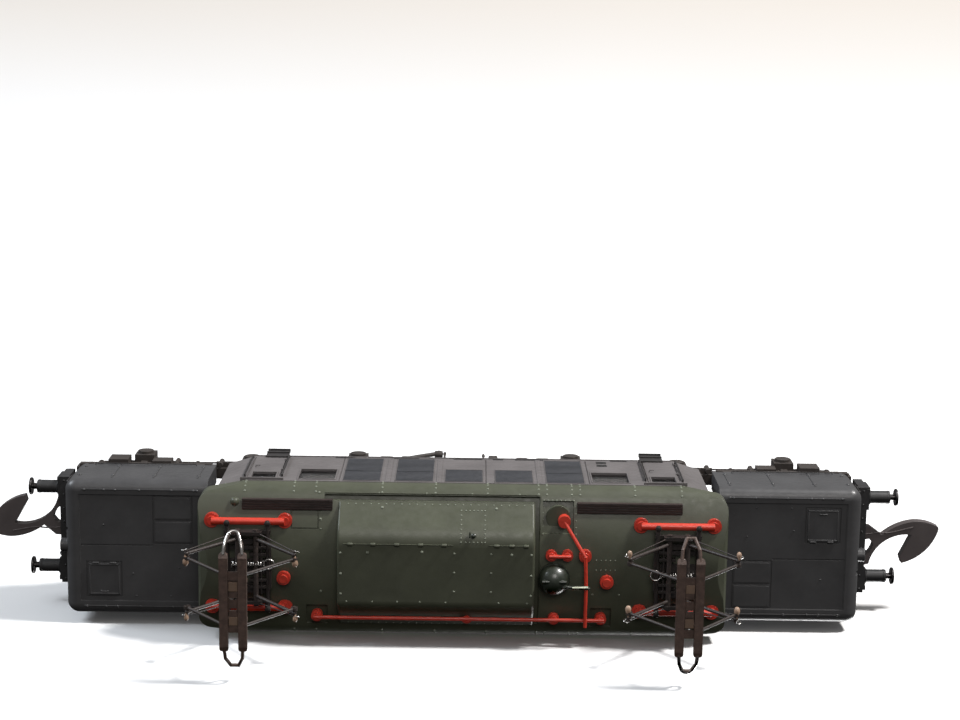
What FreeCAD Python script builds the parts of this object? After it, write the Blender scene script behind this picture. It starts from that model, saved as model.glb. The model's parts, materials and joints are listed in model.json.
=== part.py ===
"""Model electric locomotive, 1:120 scale: two hooded three-axle bogies under a double-ended centre body.

Frame: millimetres, +Z up, +X along the locomotive towards its front end.  The origin is under the
middle of the locomotive, at the height of the wheel flanges' lowest points.  While it is being built
the model stands with the top of the rail at height 0; everything is lifted by the flange depth when
it is written.  The rear half is the front half turned by 180 degrees about the vertical axis.
"""
import FreeCAD, Part
import math
import os
from FreeCAD import Vector

# ---- driving dimensions, heights above the top of the rail -------------------------------------
LENGTH_OVER_BUFFERS = 155.0
BUFFER_HEIGHT = 8.75
BUFFER_OFFSET = 7.3
FLANGE_DEPTH = 0.9
WHEEL_RADIUS = 5.2
AXLE_SPACING = 19.1
PIVOT_X = 38.2                 # bogie centre from the middle of the locomotive
SWIVEL_CLEARANCE = 0.05        # running clearance of shafts and pins, on the radius

BODY_HALF_LENGTH = 42.0
BODY_HALF_WIDTH = 13.0
BODY_END_HALF_WIDTH = 11.6
BODY_TAPER_START = 37.2
BODY_BOTTOM = 7.3
BODY_TOP = 25.2
BODY_WALL = 0.9

ROOF_HALF_LENGTH = 44.7
ROOF_HALF_WIDTH = 13.1
ROOF_END_HALF_WIDTH = 11.7
ROOF_SHOULDER_Y = 11.3
ROOF_SHOULDER_Z = 28.8
ROOF_CROWN_Z = 31.2
ROOF_WALL = 1.0

HOOD_FRONT_X = 68.7
HOOD_REAR_X = 44.0
HOOD_HALF_WIDTH = 12.0
HOOD_BOTTOM = 10.4
HOOD_TOP = 22.5
HOOD_WALL = 0.8
HOOD_RIM = 2.5                 # width of the raised rim round the hood roof
HATCH_X, HATCH_Y = (58.9, 65.1), (2.4, 8.8)
COVER_X, COVER_Y = (46.6, 53.5), (-9.4, -0.75)
COVER_FLAP_Y = -5.1
GROOVE_WIDTH = 0.2
GROOVE_DEPTH = 0.15

GEAR_MODULE = 0.4
AXLE_GEAR_TEETH = 21
IDLER_TEETH = 27
GEAR_HALF_WIDTH = 1.0
SHAFT_Z = 13.38                # motor shaft and worm line

TOOTH_ADDENDUM = 1.0           # in modules
TOOTH_DEDENDUM = 1.3
TOOTH_BACKLASH = 0.16          # share of the circular pitch left free
PRESSURE_ANGLE = math.radians(20)
FLANK_STEPS = 4

AXLE_R = 1.0
AXLE_HALF_LENGTH = 8.1
IDLER_PIN_R = 0.8
BACK_TO_BACK_HALF = 5.1
FLANGE_WIDTH = 0.6
WHEEL_WIDTH = 2.4
HUB_R = 1.7
RIM_INNER_R = 4.35
SPOKE_GAPS = 9
SPOKE_GAP_R = 0.72
SPOKE_GAP_CIRCLE_R = 3.05

PIVOT_BORE_R = 2.25
BLOCK_HALF_WIDTH = 4.4
BLOCK_REAR = -26.0             # in the bogie's own frame
BLOCK_BOTTOM = 2.2
BLOCK_TOP = 11.2
BLOCK_FRONT_TOP = 10.3
DECK_HALF_WIDTH = 10.9
DECK_BOTTOM = 11.8
DECK_TOP = 12.6
GEAR_SLOT_HALF = 1.5
BEAM_THICKNESS = 1.6
BUFFER_REACH = 5.8             # from the beam to the buffer faces
BEAM_HALF_WIDTH = 9.7
SIDE_FRAME_TOP = 6.9
SIDE_FRAME_BOTTOM = 3.4
SIDE_FRAME_INNER = 8.5
SIDE_FRAME_OUTER = 10.4
RUNNING_BOARD_Y, RUNNING_BOARD_Z = 11.9, (8.7, 10.1)

WORM_START, WORM_END = 9.0, 14.2
WORM_R = 1.3
WORM_SHAFT_R = 0.75
CUP_START, CUP_END = 3.5, 6.6
CUP_R = 1.9
CUP_BORE_R = 1.5
DOG_HALF_WIDTH = 0.9
DOG_HALF_THICKNESS = 0.3
WHEELSET_HUB_R = 1.5
MOTOR_SHAFT_R = 0.7
MOTOR_HALF_LENGTH = 6.3
MOTOR_R = 7.2
FLYWHEEL_R = 5.0
FLYWHEEL_LENGTH = 3.0

SLEEVE_LENGTH = 4.4
STEM_R = 0.55
BUFFER_PLATE_R = 1.55
COUPLER_TOP = 9.2
COUPLER_BOTTOM = 7.3
COUPLER_GAP = 0.35             # above and below the coupler
COUPLER_PIVOT = 27.8           # in the bogie's own frame
COUPLER_PIN_R = 0.9
COUPLER_THROAT = 6.6           # from the draw pin to where the two arms join
FRONT_COUPLER_REST = 4.0       # degrees that the front coupler rests aside

DOOR_X, DOOR_WINDOW_HALF, DOOR_WINDOW_Z = 34.4, 2.05, (19.2, 24.0)
SIDE_WINDOW_X, SIDE_WINDOW_HALF, SIDE_WINDOW_Z = 25.2, 3.1, (16.8, 23.6)
CAB_WINDOW_Y, CAB_WINDOW_HALF, CAB_WINDOW_Z = 5.6, 3.2, (22.9, 24.7)
# louvre panels on one side: centre x, half width, bottom
LOUVRE_TOP, LOUVRE_TALL, LOUVRE_SHORT = 24.2, 8.4, 15.8
LOUVRES = ((17.5, 3.15, LOUVRE_TALL), (8.5, 3.2, LOUVRE_TALL), (0.0, 3.2, LOUVRE_SHORT),
           (-8.6, 3.2, LOUVRE_SHORT), (-17.4, 3.2, LOUVRE_TALL))
LOUVRE_DEPTH = 0.35
HANDRAIL_R = 0.17
HANDRAIL_STAND = 0.45
HANDRAIL_FROM_DOOR = 3.2
HANDRAIL_Z = (8.6, 22.0)
STEP_X, STEP_HALF = 33.4, 2.0
DOOR_HALF = 2.75
DOOR_Z = (8.2, 24.7)
WALL_SEAMS_X = (-21.5, -3.8, 21.3)

DISC_X, DISC_Y = -16.0, -8.5
DISC_R = 2.0
CHANNEL_X = (-12.9, 23.4)      # sunk channel along two sides of the roof box
CHANNEL_Y = (-11.7, 10.4)
CHANNEL_WIDTH = 0.9
CHANNEL_DEPTH = 0.45
ROOF_HATCH_X, ROOF_HATCH_Y = (24.3, 29.0), (-9.3, -6.1)
BUSBAR_Y = 9.0
BUSBAR_X = (-23.5, 24.6)
BUSBAR_POSTS_X = (-23.5, -15.5, -0.8, 24.6)
POST_TOP_RISE = 1.75
CONDUCTOR_X = -20.6
PAD_DEPTH = 0.45
CONDUCTOR_Z = 32.4
TWINS_X, TWINS_Y = (-14.9, -17.6), -2.4
SINGLES_X, SINGLES_Y = (30.1, -24.3), 2.1
BREAKER_X, BREAKER_Y, BREAKER_R = -15.4, 1.7, 2.7
ROOF_BOX_X = (-12.1, 21.0)
ROOF_BOX_BASE_Y, ROOF_BOX_TOP_Y, ROOF_BOX_TOP_Z = 10.6, 6.0, 33.5
ROOF_BOX_ROUNDING = {-1: 5.0, 1: 1.4}    # of its long top edges, by side
WALKWAYS_X = ((22.0, 37.2), (-36.9, -19.2))
WALKWAY_Y = (-11.0, -9.3)

PANTOGRAPH_X = 36.1
PANTOGRAPH_PIVOT_Z = 32.9
PANTOGRAPH_KNEE_Z = 41.9
PANTOGRAPH_PIVOT_DX = 1.5
PANTOGRAPH_KNEE_DX = 8.74
PANTOGRAPH_LOWER_ARM_Y = 4.95
PANTOGRAPH_UPPER_ARM_Y = 4.2
BASE_BAR_Y = 7.5
BASE_BAR_HALF = 6.13
BASE_BAR_Z = 31.1
BASE_BAR_R = 0.62
ARM_R = 0.3
SHAFT_R = 0.45
PIN_R = 0.28
HEAD_HALF_STRIP = 8.1
HEAD_STRIP_X = 1.5
HEAD_HALF_LENGTH = 11.4
HORN_R = 0.28

# ---- worked-out positions ----------------------------------------------------------------------
BUFFER_FACE_X = LENGTH_OVER_BUFFERS / 2
BEAM_FACE_X = BUFFER_FACE_X - BUFFER_REACH
HOOD_FRONT = HOOD_FRONT_X - PIVOT_X
HOOD_REAR = HOOD_REAR_X - PIVOT_X
BEAM_FACE = BEAM_FACE_X - PIVOT_X
BEAM_BACK = BEAM_FACE - BEAM_THICKNESS
AXLE_GEAR_R = GEAR_MODULE * AXLE_GEAR_TEETH / 2
IDLER_R = GEAR_MODULE * IDLER_TEETH / 2
IDLER_DX = AXLE_SPACING / 2
IDLER_RISE = math.sqrt((AXLE_GEAR_R + IDLER_R) ** 2 - IDLER_DX ** 2)
IDLER_Z = WHEEL_RADIUS + IDLER_RISE
PANTOGRAPH_HEAD_Z = 2 * PANTOGRAPH_KNEE_Z - PANTOGRAPH_PIVOT_Z

CLEAR_ABOVE = 40.0             # height above every part of the roof

X_AXIS, Y_AXIS, Z_AXIS = Vector(1, 0, 0), Vector(0, 1, 0), Vector(0, 0, 1)
parts = {}


# ---- helpers -----------------------------------------------------------------------------------
def box(x0, x1, y0, y1, z0, z1):
    """Box between two corners."""
    return Part.makeBox(x1 - x0, y1 - y0, z1 - z0, Vector(x0, y0, z0))


def rod(radius, start, end):
    """Round bar from one point to another."""
    start, end = Vector(*start), Vector(*end)
    return Part.makeCylinder(radius, (end - start).Length, start, end - start)


def bent_rod(radius, points):
    """Round bar through several points, with ball corners a little thicker than the bar."""
    pieces = [rod(radius, a, b) for a, b in zip(points, points[1:])]
    pieces += [Part.makeSphere(radius * 1.06, Vector(*p)) for p in points[1:-1]]
    return fuse(pieces)


def prism(points, axis, low, high):
    """Straight-sided solid: a polygon pushed along an axis.  Points are the other two coordinates."""
    place = {"x": lambda a, b: Vector(low, a, b),
             "y": lambda a, b: Vector(a, low, b),
             "z": lambda a, b: Vector(a, b, low)}[axis]
    corners = [place(a, b) for a, b in points]
    face = Part.Face(Part.makePolygon(corners + corners[:1]))
    push = {"x": X_AXIS, "y": Y_AXIS, "z": Z_AXIS}[axis] * (high - low)
    return face.extrude(push)


def outline_face(stretches):
    """Flat face inside an outline; each stretch is a straight line or an arc through its middle point."""
    edges = [Part.Arc(*points).toShape() if len(points) == 3 else Part.makeLine(*points)
             for points in stretches]
    return Part.Face(Part.Wire(edges))


def fuse(shapes):
    """One solid from several that touch."""
    result = shapes[0].multiFuse(shapes[1:]) if len(shapes) > 1 else shapes[0]
    return result.removeSplitter()


def frame_grooves(x_range, y_range, floor, top):
    """Four boxes that cut a rectangular groove into a level face."""
    (x0, x1), (y0, y1), wide = x_range, y_range, GROOVE_WIDTH
    return [box(x0, x1, y0, y0 + wide, floor, top), box(x0, x1, y1 - wide, y1, floor, top),
            box(x0, x0 + wide, y0, y1, floor, top), box(x1 - wide, x1, y0, y1, floor, top)]


def group(shapes):
    """Several separate solids in one node."""
    return Part.makeCompound(shapes)


def both_sides(shape):
    """The shape and its mirror image across the locomotive's long centre plane."""
    return [shape, shape.mirror(Vector(0, 0, 0), Y_AXIS)]


def turned(shape):
    """The shape turned half a turn about the vertical axis: front half to rear half."""
    result = shape.copy()
    result.rotate(Vector(0, 0, 0), Z_AXIS, 180)
    return result


def both_ends(shape):
    """The shape at the front end and at the rear end."""
    return [shape, turned(shape)]


def at_pivot(shape):
    """Moves a shape from the bogie's own frame to the front bogie's place."""
    result = shape.copy()
    result.translate(Vector(PIVOT_X, 0, 0))
    return result


# ---- gears and wheelsets, in the bogie's own frame -----------------------------------------------
def involute(angle):
    """Involute function of a pressure angle."""
    return math.tan(angle) - angle


def gear_blank(teeth, phase):
    """Spur gear about +Y at the origin; phase is the direction of one tooth, from +X towards +Z."""
    pitch_r = GEAR_MODULE * teeth / 2
    base_r = pitch_r * math.cos(PRESSURE_ANGLE)
    tip_r = pitch_r + TOOTH_ADDENDUM * GEAR_MODULE
    root_r = pitch_r - TOOTH_DEDENDUM * GEAR_MODULE
    half_tooth = math.pi / teeth / 2 * (1 - TOOTH_BACKLASH)
    flank = []
    start_r = max(base_r, root_r)
    for step in range(FLANK_STEPS + 1):
        radius = start_r + (tip_r - start_r) * step / FLANK_STEPS
        local = math.acos(min(1.0, base_r / radius))
        flank.append((radius, half_tooth + involute(PRESSURE_ANGLE) - involute(local)))
    outline = []
    for tooth in range(teeth):
        centre = phase + 2 * math.pi * tooth / teeth
        outline.append((root_r, centre - flank[0][1]))
        outline += [(radius, centre - half) for radius, half in flank]
        outline += [(radius, centre + half) for radius, half in reversed(flank)]
        outline.append((root_r, centre + flank[0][1]))
    points = [(r * math.cos(a), r * math.sin(a)) for r, a in outline]
    return prism(points, "y", -GEAR_HALF_WIDTH, GEAR_HALF_WIDTH)


def meshing_phase(phase, teeth, direction, other_teeth):
    """Phase of a gear in mesh with one of a known phase, in the given direction from it."""
    share = (direction - phase) * teeth / (2 * math.pi)
    other_share = 0.5 - share
    return direction + math.pi - other_share * 2 * math.pi / other_teeth


def gear_phases():
    """Phases of the idlers and outer axle gears, from the middle axle gear at phase 0."""
    rise = math.atan2(IDLER_RISE, IDLER_DX)
    phases = {("axle", 0): 0.0}
    for side in (1, -1):
        up = rise if side > 0 else math.pi - rise
        down = -rise if side > 0 else math.pi + rise
        idler = meshing_phase(0.0, AXLE_GEAR_TEETH, up, IDLER_TEETH)
        phases[("idler", side)] = idler
        phases[("axle", side)] = meshing_phase(idler, IDLER_TEETH, down, AXLE_GEAR_TEETH)
    return phases


def wheel():
    """Flanged wheel on the +Y side, with round gaps between its spokes."""
    inner = BACK_TO_BACK_HALF
    outer = inner + WHEEL_WIDTH
    web = outer - 0.7
    flange_r = WHEEL_RADIUS + FLANGE_DEPTH
    profile = [(0.0, inner - 0.3), (HUB_R, inner - 0.3), (HUB_R, inner),
               (flange_r - 0.2, inner), (flange_r, inner + 0.25),
               (flange_r - 0.3, inner + FLANGE_WIDTH), (WHEEL_RADIUS + 0.12, inner + FLANGE_WIDTH + 0.2),
               (WHEEL_RADIUS - 0.06, outer), (RIM_INNER_R, outer),
               (RIM_INNER_R - 0.1, web), (HUB_R + 0.2, web), (HUB_R, outer - 0.1), (0.0, outer - 0.1)]
    corners = [Vector(r, y, 0) for r, y in profile]
    disc = Part.Face(Part.makePolygon(corners + corners[:1])).revolve(Vector(0, 0, 0), Y_AXIS, 360)
    gaps = []
    for index in range(SPOKE_GAPS):
        angle = 2 * math.pi * index / SPOKE_GAPS
        x, z = SPOKE_GAP_CIRCLE_R * math.cos(angle), SPOKE_GAP_CIRCLE_R * math.sin(angle)
        gaps.append(rod(SPOKE_GAP_R, (x, inner - 1, z), (x, outer + 1, z)))
    return disc.cut(group(gaps))


def wheelset(phase):
    """Two wheels and a gear pressed on an axle, about +Y at the origin."""
    axle = rod(AXLE_R, (0, -AXLE_HALF_LENGTH, 0), (0, AXLE_HALF_LENGTH, 0))
    hub = rod(WHEELSET_HUB_R, (0, -1.3, 0), (0, 1.3, 0))
    gear = fuse([hub, gear_blank(AXLE_GEAR_TEETH, phase)])
    return group([axle] + [shape.cut(axle) for shape in [gear] + both_sides(wheel())])


def idler(phase):
    """Idler gear pressed on its pin, about +Y at the origin."""
    pin = rod(IDLER_PIN_R, (0, -4.2, 0), (0, 4.2, 0))
    return group([pin, gear_blank(IDLER_TEETH, phase).cut(pin)])


# ---- bogie ---------------------------------------------------------------------------------------
def bogie_frame():
    """Cast gearbox block with the pivot plate, deck, worm bearings and cross stretchers."""
    front = BEAM_BACK
    coupler_low, coupler_high = COUPLER_BOTTOM - COUPLER_GAP, COUPLER_TOP + COUPLER_GAP
    slot = GEAR_SLOT_HALF
    block = box(BLOCK_REAR, front, -BLOCK_HALF_WIDTH, BLOCK_HALF_WIDTH, BLOCK_BOTTOM, BLOCK_TOP)
    pivot_plate = box(-3.2, 3.2, -BLOCK_HALF_WIDTH, BLOCK_HALF_WIDTH, 10.1, 11.4)
    deck = box(HOOD_REAR + 0.9, HOOD_FRONT - 1.2, -DECK_HALF_WIDTH, DECK_HALF_WIDTH,
               DECK_BOTTOM, DECK_TOP)
    deck_ribs = [box(HOOD_REAR + 1.4, HOOD_FRONT - 2, y, y + 1.4, BLOCK_TOP - 0.4, DECK_BOTTOM)
                 for y in (-4.4, 3.0)]
    bearings = [box(x, x + 1.6, -2.6, 2.6, DECK_BOTTOM, SHAFT_Z + 1.9) for x in (7.2, 15.0)]
    stretchers = [box(low, high, -SIDE_FRAME_INNER, SIDE_FRAME_INNER, 3.6, 6.2)
                  for low, high in ((-IDLER_DX - 2.2, 2.2 - IDLER_DX), (IDLER_DX - 2.2, IDLER_DX + 2.2),
                                    (26.6, front))]
    solid = fuse([block, pivot_plate, deck] + deck_ribs + bearings + stretchers)
    cuts = [box(-24.6, 24.6, -slot, slot, BLOCK_BOTTOM - 1, 9.95),
            box(HOOD_FRONT - 1.0, front + 1, -12, 12, BLOCK_FRONT_TOP, DECK_BOTTOM),
            box(-15.9, -3.4, -slot, slot, 9.0, 13.0),
            box(3.4, 15.9, -slot, slot, 9.0, DECK_TOP),
            box(CUP_START - 1, 7.2, -2.6, 2.6, DECK_BOTTOM - 0.7, SHAFT_Z + 3),
            box(8.8, 15.0, -1.9, 1.9, DECK_BOTTOM - 0.1, SHAFT_Z + 3),
            rod(PIVOT_BORE_R, (0, 0, 9.5), (0, 0, 12)),
            rod(WORM_SHAFT_R + SWIVEL_CLEARANCE, (2, 0, SHAFT_Z), (20, 0, SHAFT_Z)),
            box(24.5, front + 1, -3.6, 3.6, coupler_low, coupler_high),
            box(26.5, front + 1, -SIDE_FRAME_INNER - 1, 3.6, coupler_low, coupler_high)]
    for x in (-AXLE_SPACING, 0, AXLE_SPACING):
        slot_r = AXLE_R + SWIVEL_CLEARANCE
        cuts.append(rod(slot_r, (x, -9, WHEEL_RADIUS), (x, 9, WHEEL_RADIUS)))
        cuts.append(box(x - slot_r, x + slot_r, -9, 9, BLOCK_BOTTOM - 1, WHEEL_RADIUS))
    for x in (-IDLER_DX, IDLER_DX):
        cuts.append(rod(IDLER_PIN_R + SWIVEL_CLEARANCE, (x, -4.3, IDLER_Z), (x, 4.3, IDLER_Z)))
    solid = solid.cut(group(cuts))
    coupler_pin = rod(COUPLER_PIN_R, (COUPLER_PIVOT, 0, COUPLER_BOTTOM - 0.6),
                      (COUPLER_PIVOT, 0, COUPLER_TOP + 0.6))
    return fuse([solid, coupler_pin])


def keeper_plate():
    """Plate that holds the axles in their slots, with a window for each gear."""
    plate = box(BLOCK_REAR + 0.3, 27.0, -BLOCK_HALF_WIDTH, BLOCK_HALF_WIDTH, 1.3, BLOCK_BOTTOM - 0.02)
    ribs = [box(BLOCK_REAR + 1.0, 26.4, y, y + 0.6, 1.05, 1.3) for y in (-3.4, 2.8)]
    windows = [box(x - 3.7, x + 3.7, -1.45, 1.45, 0, 3) for x in (-AXLE_SPACING, 0, AXLE_SPACING)]
    windows += [box(x - 4.4, x + 4.4, -1.45, 1.45, 0, 3) for x in (-IDLER_DX, IDLER_DX)]
    return fuse([plate] + ribs).cut(group(windows))


def side_frame():
    """Outside frame on the +Y side with axle boxes, leaf springs, hangers and sand boxes."""
    face = SIDE_FRAME_OUTER
    plate = box(-24.4, 31.4, SIDE_FRAME_INNER, face, SIDE_FRAME_BOTTOM, SIDE_FRAME_TOP - 0.4)
    pieces = [plate]
    for x in (-AXLE_SPACING, 0, AXLE_SPACING):
        outer = 12.5 if x == 0 else 13.3
        pieces.append(box(x - 1.75, x + 1.75, face, outer - 0.5, SIDE_FRAME_BOTTOM - 0.3, SIDE_FRAME_TOP))
        pieces.append(rod(1.35, (x, outer - 0.5, WHEEL_RADIUS - 0.1), (x, outer, WHEEL_RADIUS - 0.1)))
        for end in (-1, 1):
            leaf = box(x + end * 4.0 - 2.4, x + end * 4.0 + 2.4, face, face + 1.0, 5.1, 5.8)
            hanger = rod(0.45, (x + end * 5.6, face + 0.7, 3.6), (x + end * 5.6, face + 0.7, SIDE_FRAME_TOP))
            pieces += [leaf, hanger]
    pieces.append(box(-IDLER_DX - 1.5, 1.5 - IDLER_DX, face, 12.1, SIDE_FRAME_BOTTOM, SIDE_FRAME_TOP - 0.1))
    rear, front = HOOD_REAR + 0.9, HOOD_FRONT - 0.4
    pieces.append(box(rear, front, SIDE_FRAME_INNER, face, SIDE_FRAME_TOP - 1, RUNNING_BOARD_Z[0]))
    pieces.append(box(rear, front, SIDE_FRAME_INNER, RUNNING_BOARD_Y, *RUNNING_BOARD_Z))
    pieces.append(box(14.0, 17.4, face - 0.1, 12.3, 6.4, 9.3))
    pieces.append(box(21.5, 25.0, face - 0.1, 12.75, 6.4, 10.1))
    return fuse(pieces)


def buffer_beam():
    """Buffer beam with buffer sleeves, coupler slot, running board and lamp-iron brackets."""
    front, back = BEAM_FACE, BEAM_BACK
    plate = box(back, front, -BEAM_HALF_WIDTH, BEAM_HALF_WIDTH, 5.2, 11.3)
    board = box(HOOD_FRONT + 0.05, back, -BEAM_HALF_WIDTH, BEAM_HALF_WIDTH, 10.5, 11.3)
    pieces = [plate, board]
    for y in (-BUFFER_OFFSET, BUFFER_OFFSET):
        pieces.append(box(front, front + 0.5, y - 1.9, y + 1.9,
                          BUFFER_HEIGHT - 1.9, BUFFER_HEIGHT + 1.9))
        pieces.append(rod(1.45, (front, y, BUFFER_HEIGHT), (front + 0.8, y, BUFFER_HEIGHT)))
        pieces.append(rod(1.15, (front, y, BUFFER_HEIGHT), (front + SLEEVE_LENGTH, y, BUFFER_HEIGHT)))
    for y in (0.6 - BEAM_HALF_WIDTH, BEAM_HALF_WIDTH - 0.6):
        pieces.append(box(front, front + 0.6, y - 0.35, y + 0.35, 6.2, 10.6))
    pieces.append(box(front - 0.4, front + 0.7, 4.3, 5.1, 5.4, 7.6))
    solid = fuse(pieces)
    cuts = [box(back - 1, front + 1, -6.6, 3.9, COUPLER_BOTTOM - COUPLER_GAP, COUPLER_TOP + COUPLER_GAP)]
    for y in (-BUFFER_OFFSET, BUFFER_OFFSET):
        cuts.append(rod(STEM_R + SWIVEL_CLEARANCE, (back - 1, y, BUFFER_HEIGHT),
                        (front + SLEEVE_LENGTH + 1, y, BUFFER_HEIGHT)))
    return solid.cut(group(cuts))


def buffer_plunger(y):
    """Sprung buffer: round plate on a stem, in the bogie's own frame."""
    face = BUFFER_FACE_X - PIVOT_X
    stem = rod(STEM_R, (BEAM_FACE - 1.2, y, BUFFER_HEIGHT), (face - 0.3, y, BUFFER_HEIGHT))
    plate = rod(BUFFER_PLATE_R, (face - 0.45, y, BUFFER_HEIGHT), (face, y, BUFFER_HEIGHT))
    plate = plate.makeFillet(0.15, [e for e in plate.Edges if e.Closed])
    return fuse([stem, plate])


def coupler_hook():
    """Flat hook coupler: two arms that join, a claw with a barb, and an eye on the draw pin."""
    pin = COUPLER_PIVOT
    neck = pin + COUPLER_THROAT
    outline = [[(pin + 1.6, 1.9), (neck + 0.3, 1.95)],
               [(neck + 0.3, 1.95), (neck + 2.5, 0.35)],
               [(neck + 2.5, 0.35), (neck + 5.0, 2.05), (neck + 8.0, 2.95)],
               [(neck + 8.0, 2.95), (neck + 10.4, 2.8), (neck + 12.5, 2.0)],
               [(neck + 12.5, 2.0), (neck + 12.6, 1.6)],
               [(neck + 12.6, 1.6), (neck + 10.8, -1.9), (neck + 6.2, -4.75)],
               [(neck + 6.2, -4.75), (neck + 5.85, -3.65)],
               [(neck + 5.85, -3.65), (neck + 7.8, 0.5)],
               [(neck + 7.8, 0.5), (neck + 3.4, -0.45), (neck + 0.3, -4.95)],
               [(neck + 0.3, -4.95), (neck - 0.9, -5.3)],
               [(neck - 0.9, -5.3), (neck - 2.3, -5.3)],
               [(neck - 2.3, -5.3), (neck - 2.6, -4.2)],
               [(neck - 2.6, -4.2), (neck - 1.0, -3.9)],
               [(neck - 1.0, -3.9), (neck + 0.45, -2.6), (neck + 1.0, -1.2)],
               [(neck + 1.0, -1.2), (neck + 0.2, -0.3)],
               [(neck + 0.2, -0.3), (neck - 1.6, -0.9), (neck - 3.2, -2.4)],
               [(neck - 3.2, -2.4), (pin + 1.6, -1.9)],
               [(pin + 1.6, -1.9), (pin - 2.2, 0.0), (pin + 1.6, 1.9)]]
    face = outline_face([[Vector(x, y, COUPLER_BOTTOM) for x, y in stretch] for stretch in outline])
    plate = face.extrude(Z_AXIS * (COUPLER_TOP - COUPLER_BOTTOM))
    eye = rod(COUPLER_PIN_R + SWIVEL_CLEARANCE, (pin, 0, COUPLER_BOTTOM - 1), (pin, 0, COUPLER_TOP + 1))
    return plate.cut(eye)


def rounded_hood(rear, front, half_width, bottom, top, corner, edge):
    """Block with rounded upright front corners and a rounded top edge."""
    block = box(rear, front, -half_width, half_width, bottom, top)
    upright = [e for e in block.Edges if abs(e.BoundBox.ZLength - (top - bottom)) < 1e-6
               and e.BoundBox.XMin > front - 1e-3]
    block = block.makeFillet(corner, upright)
    rim = [e for e in block.Edges if e.BoundBox.ZMin > top - 1e-3 and e.BoundBox.XMax > rear + 1e-3]
    return block.makeFillet(edge, rim)


def hood():
    """Hood over the outer end of the bogie, open below, with its lamps and a raised roof rim."""
    outer = rounded_hood(HOOD_REAR, HOOD_FRONT, HOOD_HALF_WIDTH, HOOD_BOTTOM, HOOD_TOP, 2.0, 1.9)
    inner = box(HOOD_REAR + HOOD_WALL, HOOD_FRONT - HOOD_WALL, HOOD_WALL - HOOD_HALF_WIDTH,
                HOOD_HALF_WIDTH - HOOD_WALL, HOOD_BOTTOM - 1, HOOD_TOP - 1.0)
    shell = outer.cut(inner)
    rim_y = HOOD_HALF_WIDTH - HOOD_RIM
    level = HOOD_TOP - 0.2
    floor = level - GROOVE_DEPTH
    recess = box(HOOD_REAR - 1, HOOD_FRONT - HOOD_RIM, -rim_y, rim_y, level, HOOD_TOP + 1)
    hatch_x, cover_x = [[x - PIVOT_X for x in pair] for pair in (HATCH_X, COVER_X)]
    grooves = frame_grooves(hatch_x, HATCH_Y, floor, HOOD_TOP)
    grooves += frame_grooves(cover_x, COVER_Y, floor, HOOD_TOP)
    grooves.append(box(*cover_x, COVER_FLAP_Y, COVER_FLAP_Y + GROOVE_WIDTH, floor, HOOD_TOP))
    grooves.append(box(cover_x[1], HOOD_FRONT - HOOD_RIM, -0.6, -0.6 + GROOVE_WIDTH, floor, HOOD_TOP))
    grooves.append(box(HOOD_FRONT - 0.5, HOOD_FRONT + 1, -3.4, -2.6, 20.0, HOOD_TOP + 1))
    passage = box(HOOD_REAR - 1, HOOD_REAR + 2, -3.4, 3.4, HOOD_BOTTOM - 1, SHAFT_Z + 2.6)
    frame_gap = box(HOOD_REAR - 1, HOOD_REAR + 2, -8.8, 8.8, HOOD_BOTTOM - 1, DECK_TOP + 0.2)
    shell = shell.cut(group([recess, passage, frame_gap])).cut(group(grooves))
    lamps = [rod(1.15, (HOOD_FRONT - 0.5, y, z), (HOOD_FRONT + 0.9, y, z))
             for y, z in ((-8.2, 14.0), (8.2, 14.0), (0.0, 20.6))]
    return fuse([shell] + lamps)


def hood_weight():
    """Ballast block inside the hood, on the deck."""
    return box(17.0, HOOD_FRONT - 2.2, -9.8, 9.8, DECK_TOP, HOOD_TOP - 1.4)


def worm():
    """Worm shaft with the cup of the drive coupling; the thread is a plain barrel at its root."""
    shaft = rod(WORM_SHAFT_R, (CUP_END - 0.4, 0, SHAFT_Z), (16.4, 0, SHAFT_Z))
    barrel = rod(WORM_R, (WORM_START, 0, SHAFT_Z), (WORM_END, 0, SHAFT_Z))
    cup = rod(CUP_R, (CUP_START, 0, SHAFT_Z), (CUP_END, 0, SHAFT_Z))
    cup = cup.cut(rod(CUP_BORE_R, (CUP_START - 1, 0, SHAFT_Z), (CUP_END - 0.8, 0, SHAFT_Z)))
    return fuse([shaft, barrel, cup])


def add_bogies():
    """Both bogies' nodes; the rear bogie is the front one turned round."""
    phases = gear_phases()
    front = {"bogie_frame": bogie_frame(), "keeper_plate": keeper_plate(),
             "side_frames": group(both_sides(side_frame())), "buffer_beam": buffer_beam(),
             "hood": hood(), "hood_weight": hood_weight(), "worm": worm(),
             "coupler_hook": coupler_hook(),
             "buffer_left": buffer_plunger(BUFFER_OFFSET),
             "buffer_right": buffer_plunger(-BUFFER_OFFSET)}
    for name, side in (("inner", -1), ("middle", 0), ("outer", 1)):
        axle = wheelset(phases[("axle", side)])
        axle.translate(Vector(side * AXLE_SPACING, 0, WHEEL_RADIUS))
        front[name + "_wheelset"] = axle
    for name, side in (("inner", -1), ("outer", 1)):
        gear = idler(phases[("idler", side)])
        gear.translate(Vector(side * IDLER_DX, 0, IDLER_Z))
        front[name + "_idler"] = gear
    for name, shape in front.items():
        placed = at_pivot(shape)
        parts["front_" + name] = placed
        parts["rear_" + name] = turned(placed)
    hook = front["coupler_hook"].copy()
    hook.rotate(Vector(COUPLER_PIVOT, 0, 0), Z_AXIS, -FRONT_COUPLER_REST)
    parts["front_coupler_hook"] = at_pivot(hook)


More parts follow.
